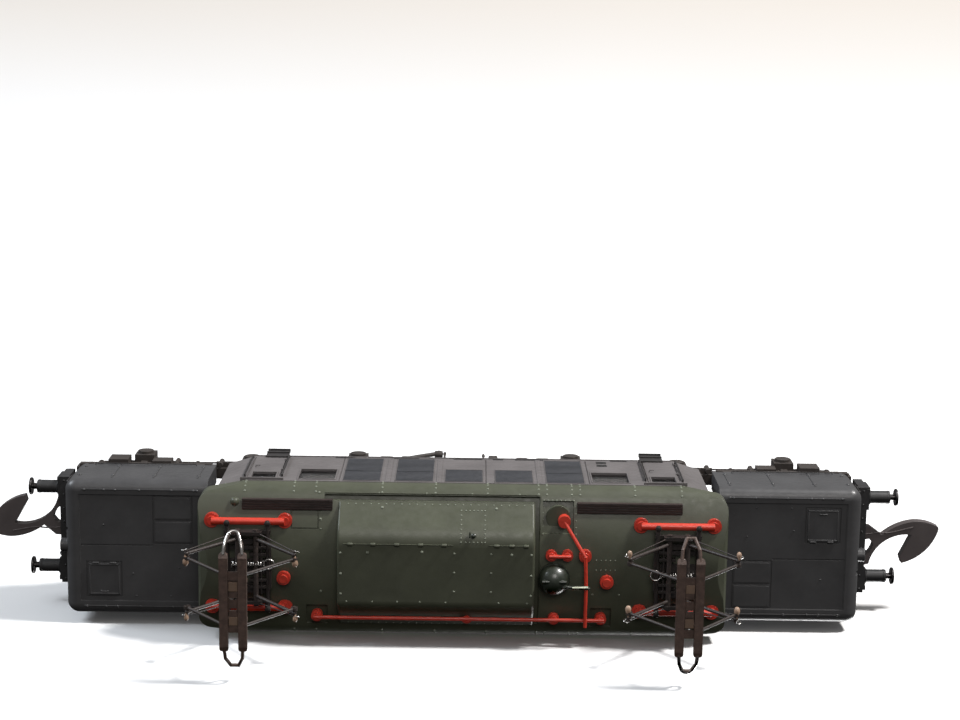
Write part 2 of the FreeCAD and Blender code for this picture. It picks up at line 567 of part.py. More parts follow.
# ---- centre body -----------------------------------------------------------------------------------
def plan_outline(half_length, half_width, end_half_width, taper_start):
    """Plan of the centre body: parallel sides that close in a little at both cabs."""
    quarter = [(half_length, -end_half_width), (half_length, end_half_width), (taper_start, half_width)]
    return quarter + [(-x, y) for x, y in reversed(quarter)] + [(-taper_start, -half_width),
                                                               (taper_start, -half_width)]


def side_openings(low_y, high_y):
    """Boxes of the windows in the side wall at -Y, between two depths."""
    boxes = []
    for x in (-DOOR_X, DOOR_X):
        boxes.append(box(x - DOOR_WINDOW_HALF, x + DOOR_WINDOW_HALF, low_y, high_y, *DOOR_WINDOW_Z))
    for x in (-SIDE_WINDOW_X, SIDE_WINDOW_X):
        boxes.append(box(x - SIDE_WINDOW_HALF, x + SIDE_WINDOW_HALF, low_y, high_y, *SIDE_WINDOW_Z))
    return boxes


def louvre_boxes(low_y, high_y):
    """Boxes of the louvre panels in the side wall at -Y, between two depths."""
    return [box(x - half, x + half, low_y, high_y, bottom, LOUVRE_TOP) for x, half, bottom in LOUVRES]


def cab_openings(low_x, high_x):
    """Boxes of the front windows of the front cab, between two depths."""
    return [box(low_x, high_x, y - CAB_WINDOW_HALF, y + CAB_WINDOW_HALF, *CAB_WINDOW_Z)
            for y in (-CAB_WINDOW_Y, CAB_WINDOW_Y)]


def body_shell():
    """Side walls and cab ends, open below and above."""
    outer = prism(plan_outline(BODY_HALF_LENGTH, BODY_HALF_WIDTH, BODY_END_HALF_WIDTH,
                               BODY_TAPER_START), "z", BODY_BOTTOM, BODY_TOP)
    inner = prism(plan_outline(BODY_HALF_LENGTH - BODY_WALL, BODY_HALF_WIDTH - BODY_WALL,
                               BODY_END_HALF_WIDTH - BODY_WALL, BODY_TAPER_START - 0.2),
                  "z", BODY_BOTTOM - 1, BODY_TOP + 1)
    outside = -BODY_HALF_WIDTH
    end = BODY_HALF_LENGTH
    tools = side_openings(outside - 1, outside + 2)
    tools += louvre_boxes(outside - 1, outside + LOUVRE_DEPTH)
    tools += cab_openings(end - 2, end + 1)
    tools.append(box(end - 2, end + 1, -10.3, 10.3, BODY_BOTTOM - 1, 12.2))
    tools.append(box(end - 2, end + 1, -2.7, 2.7, 12.0, SHAFT_Z + 2.9))
    shell = outer.cut(group([inner] + [cut for tool in tools for cut in both_ends(tool)]))
    floor, (low, high) = outside + GROOVE_DEPTH, DOOR_Z
    edges = [x + side * DOOR_HALF for x in (-DOOR_X, DOOR_X) for side in (-1, 1)]
    seams = [box(x - 0.08, x + 0.08, outside - 1, floor, low, high) for x in WALL_SEAMS_X + tuple(edges)]
    return shell.cut(group([cut for seam in seams for cut in both_ends(seam)]))


def glazing():
    """Clear window panes, half-way into the walls."""
    outside = -BODY_HALF_WIDTH
    panes = side_openings(outside + 0.3, outside + 0.7)
    panes += cab_openings(BODY_HALF_LENGTH - 0.7, BODY_HALF_LENGTH - 0.3)
    return group([end for pane in panes for end in both_ends(pane)])


def side_louvres():
    """Louvred air-intake panels, set into both side walls."""
    outside = -BODY_HALF_WIDTH
    plates = louvre_boxes(outside, outside + LOUVRE_DEPTH)
    return group([end for plate in plates for end in both_ends(plate)])


def door_handrails():
    """Wire handrails either side of each cab door."""
    rails = []
    low, high = HANDRAIL_Z
    for door_x in (-DOOR_X, DOOR_X):
        for x in (door_x - HANDRAIL_FROM_DOOR, door_x + HANDRAIL_FROM_DOOR):
            wall = -BODY_HALF_WIDTH
            if abs(x) > BODY_TAPER_START:
                slope = (BODY_HALF_WIDTH - BODY_END_HALF_WIDTH) / (BODY_HALF_LENGTH - BODY_TAPER_START)
                wall += (abs(x) - BODY_TAPER_START) * slope
            out = wall - HANDRAIL_STAND
            points = [(x, wall, low), (x, out, low), (x, out, high), (x, wall, high)]
            rails += both_ends(bent_rod(HANDRAIL_R, points))
    return group(rails)


def door_steps():
    """Hanging footsteps below each cab door."""
    steps = []
    for x in (-STEP_X, STEP_X):
        low, high = x - STEP_HALF, x + STEP_HALF
        back = box(low, high, -13.3, -BODY_HALF_WIDTH, 3.9, 8.4)
        treads = [box(low, high, -13.6, -BODY_HALF_WIDTH, z, z + 0.4) for z in (3.9, 6.0)]
        steps += both_ends(fuse([back] + treads))
    return group(steps)


def roof_solid(drop):
    """Solid under the roof surface, made smaller all round by the given amount."""
    half, shoulder_y = ROOF_HALF_WIDTH - drop, ROOF_SHOULDER_Y - 0.8 * drop
    shoulder_z, crown = ROOF_SHOULDER_Z - 0.8 * drop, ROOF_CROWN_Z - drop
    eave = BODY_TOP + 0.5
    middle_y, middle_z = half - 0.45, eave + 0.62 * (shoulder_z - eave)
    stretches = [[(-half, BODY_TOP), (-half, eave)],
                 [(-half, eave), (-middle_y, middle_z), (-shoulder_y, shoulder_z)],
                 [(-shoulder_y, shoulder_z), (0, crown), (shoulder_y, shoulder_z)],
                 [(shoulder_y, shoulder_z), (middle_y, middle_z), (half, eave)],
                 [(half, eave), (half, BODY_TOP)],
                 [(half, BODY_TOP), (-half, BODY_TOP)]]
    end = ROOF_HALF_LENGTH - drop
    section = outline_face([[Vector(-end - 1, y, z) for y, z in stretch] for stretch in stretches])
    long_solid = section.extrude(X_AXIS * 2 * (end + 1))
    plan = prism(plan_outline(end, ROOF_HALF_WIDTH + 0.01, ROOF_END_HALF_WIDTH - drop, BODY_TAPER_START),
                 "z", BODY_TOP, CLEAR_ABOVE)
    corners = [e for e in plan.Edges if e.BoundBox.ZLength > 1 and abs(abs(e.BoundBox.XMin) - end) < 1e-3]
    plan = plan.makeFillet(2.2, corners)
    nose = [(end, BODY_TOP), (end, crown - 1.6), (end - 0.5, crown - 0.5), (end - 1.8, crown + 0.02)]
    end_view = prism(nose + [(-x, z) for x, z in reversed(nose)], "y", -20, 20)
    return long_solid.common(plan).common(end_view)


def roof_height(y):
    """Height of the roof's outer surface at a distance from the centre plane, on the flat arc."""
    rise = ROOF_CROWN_Z - ROOF_SHOULDER_Z
    radius = (ROOF_SHOULDER_Y ** 2 + rise ** 2) / (2 * rise)
    return ROOF_CROWN_Z - radius + math.sqrt(radius ** 2 - y ** 2)


def roof_shell():
    """Roof with its shoulders, sunk pads for the insulators and the moulded cover disc."""
    shell = roof_solid(0.0).cut(roof_solid(ROOF_WALL))
    pads = [(DISC_X, DISC_Y, 2.6)] + [(x, BUSBAR_Y, 1.8) for x in BUSBAR_X]
    pockets = [box(x - half, x + half, y - half, y + half, BODY_TOP, CLEAR_ABOVE).cut(roof_solid(PAD_DEPTH))
               for x, y, half in pads]
    (x0, x1), (y0, y1), wide = CHANNEL_X, CHANNEL_Y, CHANNEL_WIDTH
    sunk = roof_solid(CHANNEL_DEPTH)
    pockets.append(box(x0, x1, y0, y0 + wide, BODY_TOP, CLEAR_ABOVE).cut(sunk))
    pockets.append(box(x0, x0 + wide, y0 + wide, y1, BODY_TOP, CLEAR_ABOVE).cut(sunk))
    pockets += [groove.cut(roof_solid(GROOVE_DEPTH)) for groove in
                frame_grooves(ROOF_HATCH_X, ROOF_HATCH_Y, BODY_TOP, CLEAR_ABOVE)]
    shell = shell.cut(group(pockets))
    base = roof_height(DISC_Y) - 0.5
    disc = rod(DISC_R, (DISC_X, DISC_Y, base - 0.3), (DISC_X, DISC_Y, base + 0.45))
    domes = [Part.makeSphere(0.75, Vector(38.5, -10.4, roof_height(10.4))),
             Part.makeSphere(0.75, Vector(-38.5, 10.4, roof_height(10.4)))]
    return fuse([shell, disc] + domes)


def roof_box():
    """Raised equipment cover on the roof, with sloping long sides and its small hatch."""
    base = roof_height(ROOF_BOX_BASE_Y) + 0.25
    half = [(ROOF_BOX_TOP_Y, ROOF_BOX_TOP_Z), (ROOF_BOX_BASE_Y, base), (ROOF_BOX_BASE_Y, base - 0.9)]
    cover = prism(half + [(-y, z) for y, z in reversed(half)], "x", *ROOF_BOX_X)
    for side, radius in ROOF_BOX_ROUNDING.items():
        ridge = [e for e in cover.Edges if e.BoundBox.XLength > 1 and e.BoundBox.ZMin > ROOF_BOX_TOP_Z - 0.1
                 and abs(e.BoundBox.YMin - side * ROOF_BOX_TOP_Y) < 0.1]
        cover = cover.makeFillet(radius, ridge)
    bevels = [e for e in cover.Edges if e.BoundBox.XLength < 0.1 and e.BoundBox.ZMax > base + 0.1]
    cover = cover.makeFillet(0.45, bevels)
    return cover.cut(roof_solid(0.0))


def roof_walkways():
    """Two wooden walkway planks beside the pantographs, on the -Y side."""
    top = roof_height(WALKWAY_Y[0]) + 1.05
    return group([box(low, high, *WALKWAY_Y, top - 1.6, top).cut(roof_solid(0.0))
                  for low, high in WALKWAYS_X])


def insulator(x, y, foot, top, radius):
    """Ribbed post insulator between two heights."""
    step = (top - foot) / 4
    pieces = [rod(radius * 0.62, (x, y, foot), (x, y, top))]
    for index in range(3):
        low = foot + step * (index + 0.35)
        pieces.append(rod(radius, (x, y, low), (x, y, low + step * 0.55)))
    return fuse(pieces)


def roof_busbar():
    """Long high-voltage bar on four posts, and two single post insulators."""
    foot = roof_height(BUSBAR_Y) - 0.45
    top = roof_height(BUSBAR_Y) + POST_TOP_RISE
    posts = [insulator(x, BUSBAR_Y, foot if x in BUSBAR_X else foot + 0.5, top, 0.95)
             for x in BUSBAR_POSTS_X]
    bar = rod(0.32, (BUSBAR_X[0] - 0.5, BUSBAR_Y, top), (BUSBAR_X[1] + 0.5, BUSBAR_Y, top))
    line = fuse(posts + [bar]).cut(parts["roof_shell"]).cut(parts["roof_box"])
    surface = roof_height(SINGLES_Y)
    singles = [insulator(x, SINGLES_Y, surface - 0.3, surface + 1.5, 1.15).cut(roof_solid(0.0))
               for x in SINGLES_X]
    return group([line] + singles)


def roof_conductor():
    """Conductor from the cover disc over a post to the busbar, and a linked pair of insulators."""
    disc_top = roof_height(DISC_Y) - 0.05
    head_x, head_y = DISC_X - 1.0, DISC_Y + 0.4
    end_z = roof_height(BUSBAR_Y) + POST_TOP_RISE + 0.67
    head = rod(1.05, (head_x, head_y, disc_top + 0.01), (head_x, head_y, disc_top + 1.5))
    post = insulator(CONDUCTOR_X, TWINS_Y, roof_height(TWINS_Y) - 0.2, CONDUCTOR_Z + 0.3, 1.05)
    run = bent_rod(0.3, [(head_x, head_y, disc_top + 1.2), (CONDUCTOR_X, TWINS_Y, CONDUCTOR_Z + 0.25),
                         (CONDUCTOR_X - 0.2, 2.5, CONDUCTOR_Z), (CONDUCTOR_X - 0.2, BUSBAR_Y + 1.0, end_z)])
    foot = roof_height(TWINS_Y) - 0.2
    twins = [insulator(x, TWINS_Y, foot, CONDUCTOR_Z, 0.95) for x in TWINS_X]
    link = rod(0.32, (TWINS_X[0] + 0.4, TWINS_Y, CONDUCTOR_Z), (TWINS_X[1] - 0.6, TWINS_Y, CONDUCTOR_Z))
    return group([fuse([head, run, post]).cut(roof_solid(0.0)), fuse([link] + twins).cut(roof_solid(0.0))])


def breaker():
    """Domed circuit-breaker tank with a cross bar and its horn arm."""
    x, y, radius = BREAKER_X, BREAKER_Y, BREAKER_R
    shoulder = roof_height(y) + 0.9
    tank = rod(radius, (x, y, roof_height(y + radius) - 0.6), (x, y, shoulder))
    dome = Part.makeSphere(radius, Vector(x, y, shoulder - 0.5))
    dome = dome.common(box(x - 3, x + 3, y - 3, y + 3, shoulder, shoulder + 3))
    bar = rod(0.35, (x - 2.0, y - 0.1, shoulder + 1.75), (x + 2.0, y - 0.1, shoulder + 1.75))
    arm = bent_rod(0.28, [(x + 1.4, y + 1.2, shoulder + 1.2), (x - 2.2, y + 0.8, shoulder + 1.55),
                          (x - 6.0, y + 1.1, shoulder + 1.35)])
    return fuse([tank, dome, bar, arm]).cut(roof_solid(0.0))


def motor_can():
    """Flat-sided can motor with bearing bosses."""
    can = rod(MOTOR_R, (-MOTOR_HALF_LENGTH, 0, SHAFT_Z), (MOTOR_HALF_LENGTH, 0, SHAFT_Z))
    can = can.common(box(-7, 7, -MOTOR_R, MOTOR_R, SHAFT_Z - 5.6, SHAFT_Z + 5.6))
    boss = MOTOR_HALF_LENGTH + 0.6
    bosses = rod(1.9, (-boss, 0, SHAFT_Z), (boss, 0, SHAFT_Z))
    bore = rod(MOTOR_SHAFT_R + SWIVEL_CLEARANCE, (-8, 0, SHAFT_Z), (8, 0, SHAFT_Z))
    return fuse([can, bosses]).cut(bore)


def motor_shaft():
    """Motor shaft, run out to both bogies, with the dogs that sit in the worm cups."""
    end = PIVOT_X + CUP_START + 1.5
    shaft = rod(MOTOR_SHAFT_R, (-end, 0, SHAFT_Z), (end, 0, SHAFT_Z))
    dogs = both_ends(box(end - 1.0, end, -DOG_HALF_THICKNESS, DOG_HALF_THICKNESS,
                         SHAFT_Z - DOG_HALF_WIDTH, SHAFT_Z + DOG_HALF_WIDTH))
    return fuse([shaft] + dogs)


def flywheels():
    """Two brass flywheels on the motor shaft."""
    wheels = []
    for low in (7.2, -7.2 - FLYWHEEL_LENGTH):
        disc = rod(FLYWHEEL_R, (low, 0, SHAFT_Z), (low + FLYWHEEL_LENGTH, 0, SHAFT_Z))
        wheels.append(disc.cut(rod(MOTOR_SHAFT_R, (low - 1, 0, SHAFT_Z), (low + 4, 0, SHAFT_Z))))
    return group(wheels)


def centre_frame():
    """Cast ballast frame: motor bay, shaft slot, pivot plates and pins, and hanging side tanks."""
    block = box(-40.8, 40.8, -10.4, 10.4, 12.5, 22.4)
    middle = box(-36.0, 36.0, -11.6, 11.6, 12.5, 22.4)
    pivot_plates = both_ends(box(34.9, 40.8, -6.0, 6.0, 11.75, 12.5))
    pins = both_ends(rod(PIVOT_BORE_R - SWIVEL_CLEARANCE, (PIVOT_X, 0, 10.2), (PIVOT_X, 0, 11.9)))
    tanks = both_sides(box(-10.2, 10.2, 8.2, 11.6, 5.4, 12.6))
    solid = fuse([block, middle] + pivot_plates + pins + tanks)
    cuts = [box(-10.8, 10.8, -8.2, 8.2, 5, 30), box(-45, 45, -1.6, 1.6, 12.5, 15.6)]
    cuts += both_ends(box(29.0, 45, -15, 15, 16.8, 30))
    return solid.cut(group(cuts))


def circuit_board():
    """Circuit board on the frame, with its larger components."""
    board = box(-26.0, 26.0, -8.0, 8.0, 22.4, 23.4)
    chips = [box(x - 3.0, x + 3.0, -3.0, 3.0, 23.4, 24.4) for x in (-18.0, -6.0, 8.0, 19.0)]
    return fuse([board] + chips)


def add_centre_body():
    """Every node of the centre body, its motor and its drive shaft."""
    makers = (centre_frame, body_shell, roof_shell, roof_box, roof_walkways, side_louvres, glazing,
              door_handrails, door_steps, roof_busbar, roof_conductor, breaker, motor_can,
              circuit_board, motor_shaft, flywheels)
    for maker in makers:
        parts[maker.__name__] = maker()


# ---- pantographs, in their own frame: x from the pantograph's centre ------------------------------
def panto_insulators():
    """Two moulded insulator bars with a cup at each end."""
    bars = []
    for y in (-BASE_BAR_Y, BASE_BAR_Y):
        foot = roof_height(y) - 0.4
        bar = rod(BASE_BAR_R, (-BASE_BAR_HALF, y, BASE_BAR_Z), (BASE_BAR_HALF, y, BASE_BAR_Z))
        cups = [insulator(x, y, foot, BASE_BAR_Z + 0.1, 1.25) for x in (-BASE_BAR_HALF, BASE_BAR_HALF)]
        bars.append(fuse([bar] + cups).cut(roof_solid(0.0)))
    return group(bars)


def panto_base():
    """Base frame: cross tubes on the bars, bearing plates and the spring housing."""
    lift = BASE_BAR_Z + BASE_BAR_R
    tube_x, tube_r = 3.4, 0.42
    pieces = [rod(tube_r, (x, -BASE_BAR_Y, lift + tube_r), (x, BASE_BAR_Y, lift + tube_r))
              for x in (-tube_x, tube_x)]
    for y in (-6.3, 5.7):
        pieces.append(box(-3.9, 3.9, y, y + 0.6, lift + 0.1, lift + 0.75))
        pieces.append(box(-2.5, 2.5, y, y + 0.6, lift - 0.1, PANTOGRAPH_PIVOT_Z + 0.75))
    for y, half in ((0, 1.3), (-3.2, 0.35), (3.2, 0.35)):
        pieces.append(box(-tube_x, tube_x, y - half, y + half, lift + 0.05, lift + 0.4))
    room = []
    for x in (-PANTOGRAPH_PIVOT_DX, PANTOGRAPH_PIVOT_DX):
        for radius, half in ((SHAFT_R + SWIVEL_CLEARANCE, 9), (0.62, 5.5)):
            room.append(rod(radius, (x, -half, PANTOGRAPH_PIVOT_Z), (x, half, PANTOGRAPH_PIVOT_Z)))
    return fuse(pieces).cut(group(room))


def lower_arm(side):
    """Lower arm: base shaft, two tubes and the knee pins."""
    pivot = side * PANTOGRAPH_PIVOT_DX
    knee = side * PANTOGRAPH_KNEE_DX
    shaft = rod(SHAFT_R, (pivot, -6.6, PANTOGRAPH_PIVOT_Z), (pivot, 6.6, PANTOGRAPH_PIVOT_Z))
    pieces = [shaft]
    for y in (-PANTOGRAPH_LOWER_ARM_Y, PANTOGRAPH_LOWER_ARM_Y):
        end = math.copysign(PANTOGRAPH_UPPER_ARM_Y - 0.4, y)
        pieces.append(rod(ARM_R, (pivot, y, PANTOGRAPH_PIVOT_Z), (knee, y, PANTOGRAPH_KNEE_Z)))
        pieces.append(rod(PIN_R, (knee, end, PANTOGRAPH_KNEE_Z), (knee, y * 1.12, PANTOGRAPH_KNEE_Z)))
        pieces.append(Part.makeSphere(0.42, Vector(knee, y, PANTOGRAPH_KNEE_Z)))
    return fuse(pieces)


def upper_arm(side):
    """Upper arm: an eye on each knee pin, two tubes and the head shaft."""
    pivot = side * PANTOGRAPH_PIVOT_DX
    knee = side * PANTOGRAPH_KNEE_DX
    pieces = [rod(PIN_R, (pivot, -5.1, PANTOGRAPH_HEAD_Z), (pivot, 5.1, PANTOGRAPH_HEAD_Z))]
    for y in (-PANTOGRAPH_UPPER_ARM_Y, PANTOGRAPH_UPPER_ARM_Y):
        pieces.append(rod(ARM_R * 0.85, (knee, y, PANTOGRAPH_KNEE_Z), (pivot, y, PANTOGRAPH_HEAD_Z)))
        pieces.append(rod(0.55, (knee, y - 0.28, PANTOGRAPH_KNEE_Z), (knee, y + 0.28, PANTOGRAPH_KNEE_Z)))
    bores = rod(PIN_R + SWIVEL_CLEARANCE, (knee, -6, PANTOGRAPH_KNEE_Z), (knee, 6, PANTOGRAPH_KNEE_Z))
    return fuse(pieces).cut(bores)


def panto_head():
    """Collector head: two contact strips, end horns, cross plates and bearing lugs."""
    strip_low = PANTOGRAPH_HEAD_Z + 0.75
    strip_top = strip_low + 0.75
    pieces = []
    for x in (-HEAD_STRIP_X, HEAD_STRIP_X):
        outline = [(-HEAD_HALF_STRIP, strip_low), (HEAD_HALF_STRIP, strip_low),
                   (HEAD_HALF_STRIP, strip_top - 0.3), (HEAD_HALF_STRIP - 0.8, strip_top),
                   (0.8 - HEAD_HALF_STRIP, strip_top), (-HEAD_HALF_STRIP, strip_top - 0.3)]
        strip = prism(outline, "x", x - 0.7, x + 0.7)
        ends = [e for e in strip.Edges if e.BoundBox.ZLength > 0.4 and e.BoundBox.YLength < 0.01]
        pieces.append(strip.makeFillet(0.45, ends))
    horn_z = strip_low + 0.35
    for end in (-1, 1):
        tip = HEAD_HALF_LENGTH - HORN_R - 0.15
        half = [(-HEAD_STRIP_X, end * (HEAD_HALF_STRIP - 0.5), horn_z), (-1.35, end * 9.4, horn_z - 0.5),
                (-0.65, end * tip, horn_z - 1.7)]
        pieces.append(bent_rod(HORN_R, half + [(-x, y, z) for x, y, z in reversed(half)]))
    for y in (-5.0, -0.4, 3.6):
        pieces.append(box(-HEAD_STRIP_X, HEAD_STRIP_X, y, y + 1.4, strip_low + 0.05, strip_low + 0.35))
    for y in (-3.5, 2.9):
        pieces.append(box(-2.1, 2.1, y, y + 0.6, PANTOGRAPH_HEAD_Z - 0.7, strip_low + 0.1))
    solid = fuse(pieces)
    bores = [rod(PIN_R + SWIVEL_CLEARANCE, (x, -6, PANTOGRAPH_HEAD_Z), (x, 6, PANTOGRAPH_HEAD_Z))
             for x in (-PANTOGRAPH_PIVOT_DX, PANTOGRAPH_PIVOT_DX)]
    return solid.cut(group(bores))


def add_pantographs():
    """Both pantographs; x grows away from the middle of the locomotive on each."""
    own = {"panto_insulators": panto_insulators(), "panto_base": panto_base(),
           "panto_lower_outer": lower_arm(1), "panto_lower_inner": lower_arm(-1),
           "panto_upper_outer": upper_arm(1), "panto_upper_inner": upper_arm(-1),
           "panto_head": panto_head()}
    for name, shape in own.items():
        placed = shape.copy()
        placed.translate(Vector(PANTOGRAPH_X, 0, 0))
        parts["front_" + name] = placed
        parts["rear_" + name] = turned(placed)


def main():
    """Builds every node, lifts it onto the flange bottoms and writes it."""
    add_centre_body()
    add_bogies()
    add_pantographs()
    os.makedirs("parts", exist_ok=True)
    for name, shape in parts.items():
        lifted = shape.copy()
        lifted.translate(Vector(0, 0, FLANGE_DEPTH))
        if not lifted.isValid() or any(not s.isClosed() for s in lifted.Shells):
            print("not closed or not valid:", name)
        lifted.exportStep("parts/" + name + ".step")
    print(len(parts), "nodes")


main()
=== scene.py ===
"""Looks of the model electric locomotive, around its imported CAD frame.

Lengths are millimetres in the frame's axes until piece() makes a mesh in metres.
The rear half is the front half turned by half a turn about the vertical axis.
"""
import json
import math

import bmesh
import bpy
from mathutils import Matrix, Vector


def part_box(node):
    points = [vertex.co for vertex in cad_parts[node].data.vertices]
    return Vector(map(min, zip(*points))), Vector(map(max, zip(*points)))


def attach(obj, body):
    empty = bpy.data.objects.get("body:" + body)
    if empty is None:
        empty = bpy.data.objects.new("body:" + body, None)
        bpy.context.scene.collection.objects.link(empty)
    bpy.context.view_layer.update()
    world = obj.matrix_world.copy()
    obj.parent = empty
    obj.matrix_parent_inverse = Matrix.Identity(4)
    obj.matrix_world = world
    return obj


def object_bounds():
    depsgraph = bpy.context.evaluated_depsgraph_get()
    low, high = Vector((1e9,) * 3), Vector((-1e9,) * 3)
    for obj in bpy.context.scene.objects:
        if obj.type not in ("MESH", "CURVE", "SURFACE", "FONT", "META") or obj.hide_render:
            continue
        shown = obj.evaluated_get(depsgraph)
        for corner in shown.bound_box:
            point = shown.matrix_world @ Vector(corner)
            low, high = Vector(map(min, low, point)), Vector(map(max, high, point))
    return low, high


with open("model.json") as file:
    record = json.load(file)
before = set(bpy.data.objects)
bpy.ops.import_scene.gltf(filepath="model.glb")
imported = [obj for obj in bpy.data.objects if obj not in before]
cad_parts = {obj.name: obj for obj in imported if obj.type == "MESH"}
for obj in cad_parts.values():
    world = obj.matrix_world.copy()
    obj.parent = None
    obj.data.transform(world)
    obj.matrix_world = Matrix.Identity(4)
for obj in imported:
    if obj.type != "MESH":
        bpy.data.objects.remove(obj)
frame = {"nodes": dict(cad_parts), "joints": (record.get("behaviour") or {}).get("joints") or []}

CAD_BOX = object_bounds()
NODES = frame["nodes"]
MM = 0.001
HALF_TURN = Matrix.Rotation(math.pi, 4, "Z")
ENDS = ("front", "rear")
SHARP_ANGLE = math.radians(50)  # edges that turn more than this stay crisp
UP = Vector((0, 0, 1))
SKY = 45.0                      # height above everything, where rays start down


# ---- places read from the frame ----
def node_box(name):
    """Lowest and highest corners of a CAD node, in millimetres."""
    low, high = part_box(name)
    return low / MM, high / MM


def on_surface(node, start, direction):
    """Point and normal, in millimetres, where a ray from a point meets a CAD node."""
    hit, point, normal, _ = NODES[node].ray_cast(Vector(start) * MM, Vector(direction))
    if not hit:
        raise ValueError(f"no surface of {node} from {start} along {direction}")
    return point / MM, normal


def joint_place(name):
    """A joint's position in millimetres."""
    return next(Vector(j["pos_m"]) / MM for j in frame["joints"] if j["name"] == name)


# ---- mesh building ----
def merge(bm, part):
    """Adds one bmesh to another and frees it."""
    mesh = bpy.data.meshes.new("merge")
    part.to_mesh(mesh)
    part.free()
    bm.from_mesh(mesh)
    bpy.data.meshes.remove(mesh)


def add_box(bm, low, high, round_off=0.08):
    """Box between two corners with rounded edges."""
    low, high = Vector(low), Vector(high)
    part = bmesh.new()
    bmesh.ops.create_cube(part, size=1.0)
    size = high - low
    bmesh.ops.scale(part, vec=size, verts=part.verts)
    bmesh.ops.translate(part, vec=(low + high) / 2, verts=part.verts)
    offset = min(round_off, min(size) * 0.4)
    bmesh.ops.bevel(part, geom=part.edges[:], offset=offset, segments=2, profile=0.7, affect="EDGES")
    merge(bm, part)


def add_side_box(bm, side, xs, depths, zs, round_off):
    """Box on the +Y or -Y side; the depths are distances from the long centre plane."""
    low, high = sorted(side * depth for depth in depths)
    add_box(bm, (xs[0], low, zs[0]), (xs[1], high, zs[1]), round_off)


def axes_for(direction):
    """Matrix whose Z axis is the direction."""
    return Vector(direction).to_track_quat("Z", "Y").to_matrix()


def on_circle(angle, radius=1.0, height=0.0):
    """Point on a circle about the Z axis."""
    return Vector((radius * math.cos(angle), radius * math.sin(angle), height))


def add_lathe(bm, profile, centre, direction, sides=24):
    """Turned shape: (radius, height) points about an axis through the centre."""
    turn, centre = axes_for(direction), Vector(centre)
    rings = []
    for radius, height in profile:
        if radius < 1e-6:
            rings.append([bm.verts.new(centre + turn @ Vector((0, 0, height)))])
            continue
        rings.append([bm.verts.new(centre + turn @ on_circle(2 * math.pi * step / sides, radius, height))
                      for step in range(sides)])
    for below, above in zip(rings, rings[1:]):
        join_rings(bm, below, above)


def join_rings(bm, below, above):
    """Faces between two rings of vertices, either of which may be a single point."""
    count = max(len(below), len(above))
    for i in range(count):
        j = (i + 1) % count
        corners = (below[i % len(below)], below[j % len(below)],
                   above[j % len(above)], above[i % len(above)])
        bm.faces.new(list(dict.fromkeys(corners)))


def add_rivet(bm, centre, normal, radius=0.2):
    """Round-headed rivet on a surface."""
    sunk = -0.05
    profile = [(radius, sunk), (radius, 0.02), (radius * 0.82, radius * 0.34),
               (radius * 0.45, radius * 0.56), (0, radius * 0.62)]
    add_lathe(bm, profile, centre, normal, sides=10)


def add_tube(bm, points, radius, sides=10):
    """Round wire through points, with smooth mitred corners and closed ends."""
    points = [Vector(p) for p in points]
    padded = [points[0]] + points + [points[-1]]
    tangents = [(after - before).normalized() for before, after in zip(padded, padded[2:])]
    side = tangents[0].orthogonal().normalized()
    rings = []
    for point, tangent in zip(points, tangents):
        side = (side - tangent * side.dot(tangent)).normalized()
        other = tangent.cross(side)
        rings.append([bm.verts.new(point + (side * math.cos(a) + other * math.sin(a)) * radius)
                      for a in (2 * math.pi * step / sides for step in range(sides))])
    chain = [[bm.verts.new(points[0])]] + rings + [[bm.verts.new(points[-1])]]
    for below, above in zip(chain, chain[1:]):
        join_rings(bm, below, above)


def smooth_path(points, steps=6):
    """Catmull-Rom curve through a few points."""
    points = [Vector(p) for p in points]
    padded = [2 * points[0] - points[1]] + points + [2 * points[-1] - points[-2]]
    path = []
    for a, b, c, d in zip(padded, padded[1:], padded[2:], padded[3:]):
        for step in range(steps):
            t = step / steps
            path.append(0.5 * (2 * b + (c - a) * t + (2 * a - 5 * b + 4 * c - d) * t ** 2
                               + (3 * b - a - 3 * c + d) * t ** 3))
    return path + [points[-1]]


def helix(start, end, radius, turns, steps=14):
    """Points of a coil between two points."""
    start, end = Vector(start), Vector(end)
    turn = axes_for(end - start)
    count = int(turns * steps)
    return [start + (end - start) * share + turn @ on_circle(2 * math.pi * turns * share) * radius
            for share in (i / count for i in range(count + 1))]


def ring_points(centre, normal, radius, steps=24):
    """Points round a circle, the first repeated at the end."""
    turn = axes_for(normal)
    return [Vector(centre) + turn @ on_circle(2 * math.pi * i / steps) * radius for i in range(steps + 1)]


def smooth_mesh(name, bm):
    """Smooth mesh in metres; frees the bmesh."""
    mesh = bpy.data.meshes.new(name)
    bm.to_mesh(mesh)
    bm.free()
    mesh.transform(Matrix.Scale(MM, 4))
    mesh.shade_smooth()
    return mesh


def add_object(name, data):
    """Object with this data, linked into the scene."""
    made = bpy.data.objects.new(name, data)
    bpy.context.scene.collection.objects.link(made)
    return made


def piece(name, bm, body, slot, look=None, turned=False):
    """Finished piece of a body; its look is the slot's unless another is named."""
    bmesh.ops.recalc_face_normals(bm, faces=bm.faces)
    mesh = smooth_mesh(name, bm)
    if turned:
        mesh.transform(HALF_TURN)
    mesh.set_sharp_from_angle(angle=SHARP_ANGLE)
    mesh.materials.append(MATERIALS[look or slot])
    made = add_object(name, mesh)
    made.modifiers.new("even_normals", "WEIGHTED_NORMAL").keep_sharp = True
    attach(made, body)


def end_pieces(build, body, slot, look=None, name=None):
    """One piece at the front and, turned round, at the rear, named after what builds it."""
    for end in ENDS:
        bm = bmesh.new()
        build(bm)
        piece(f"{end}_{name or build.__name__}", bm, body.format(end=end), slot, look, end == "rear")


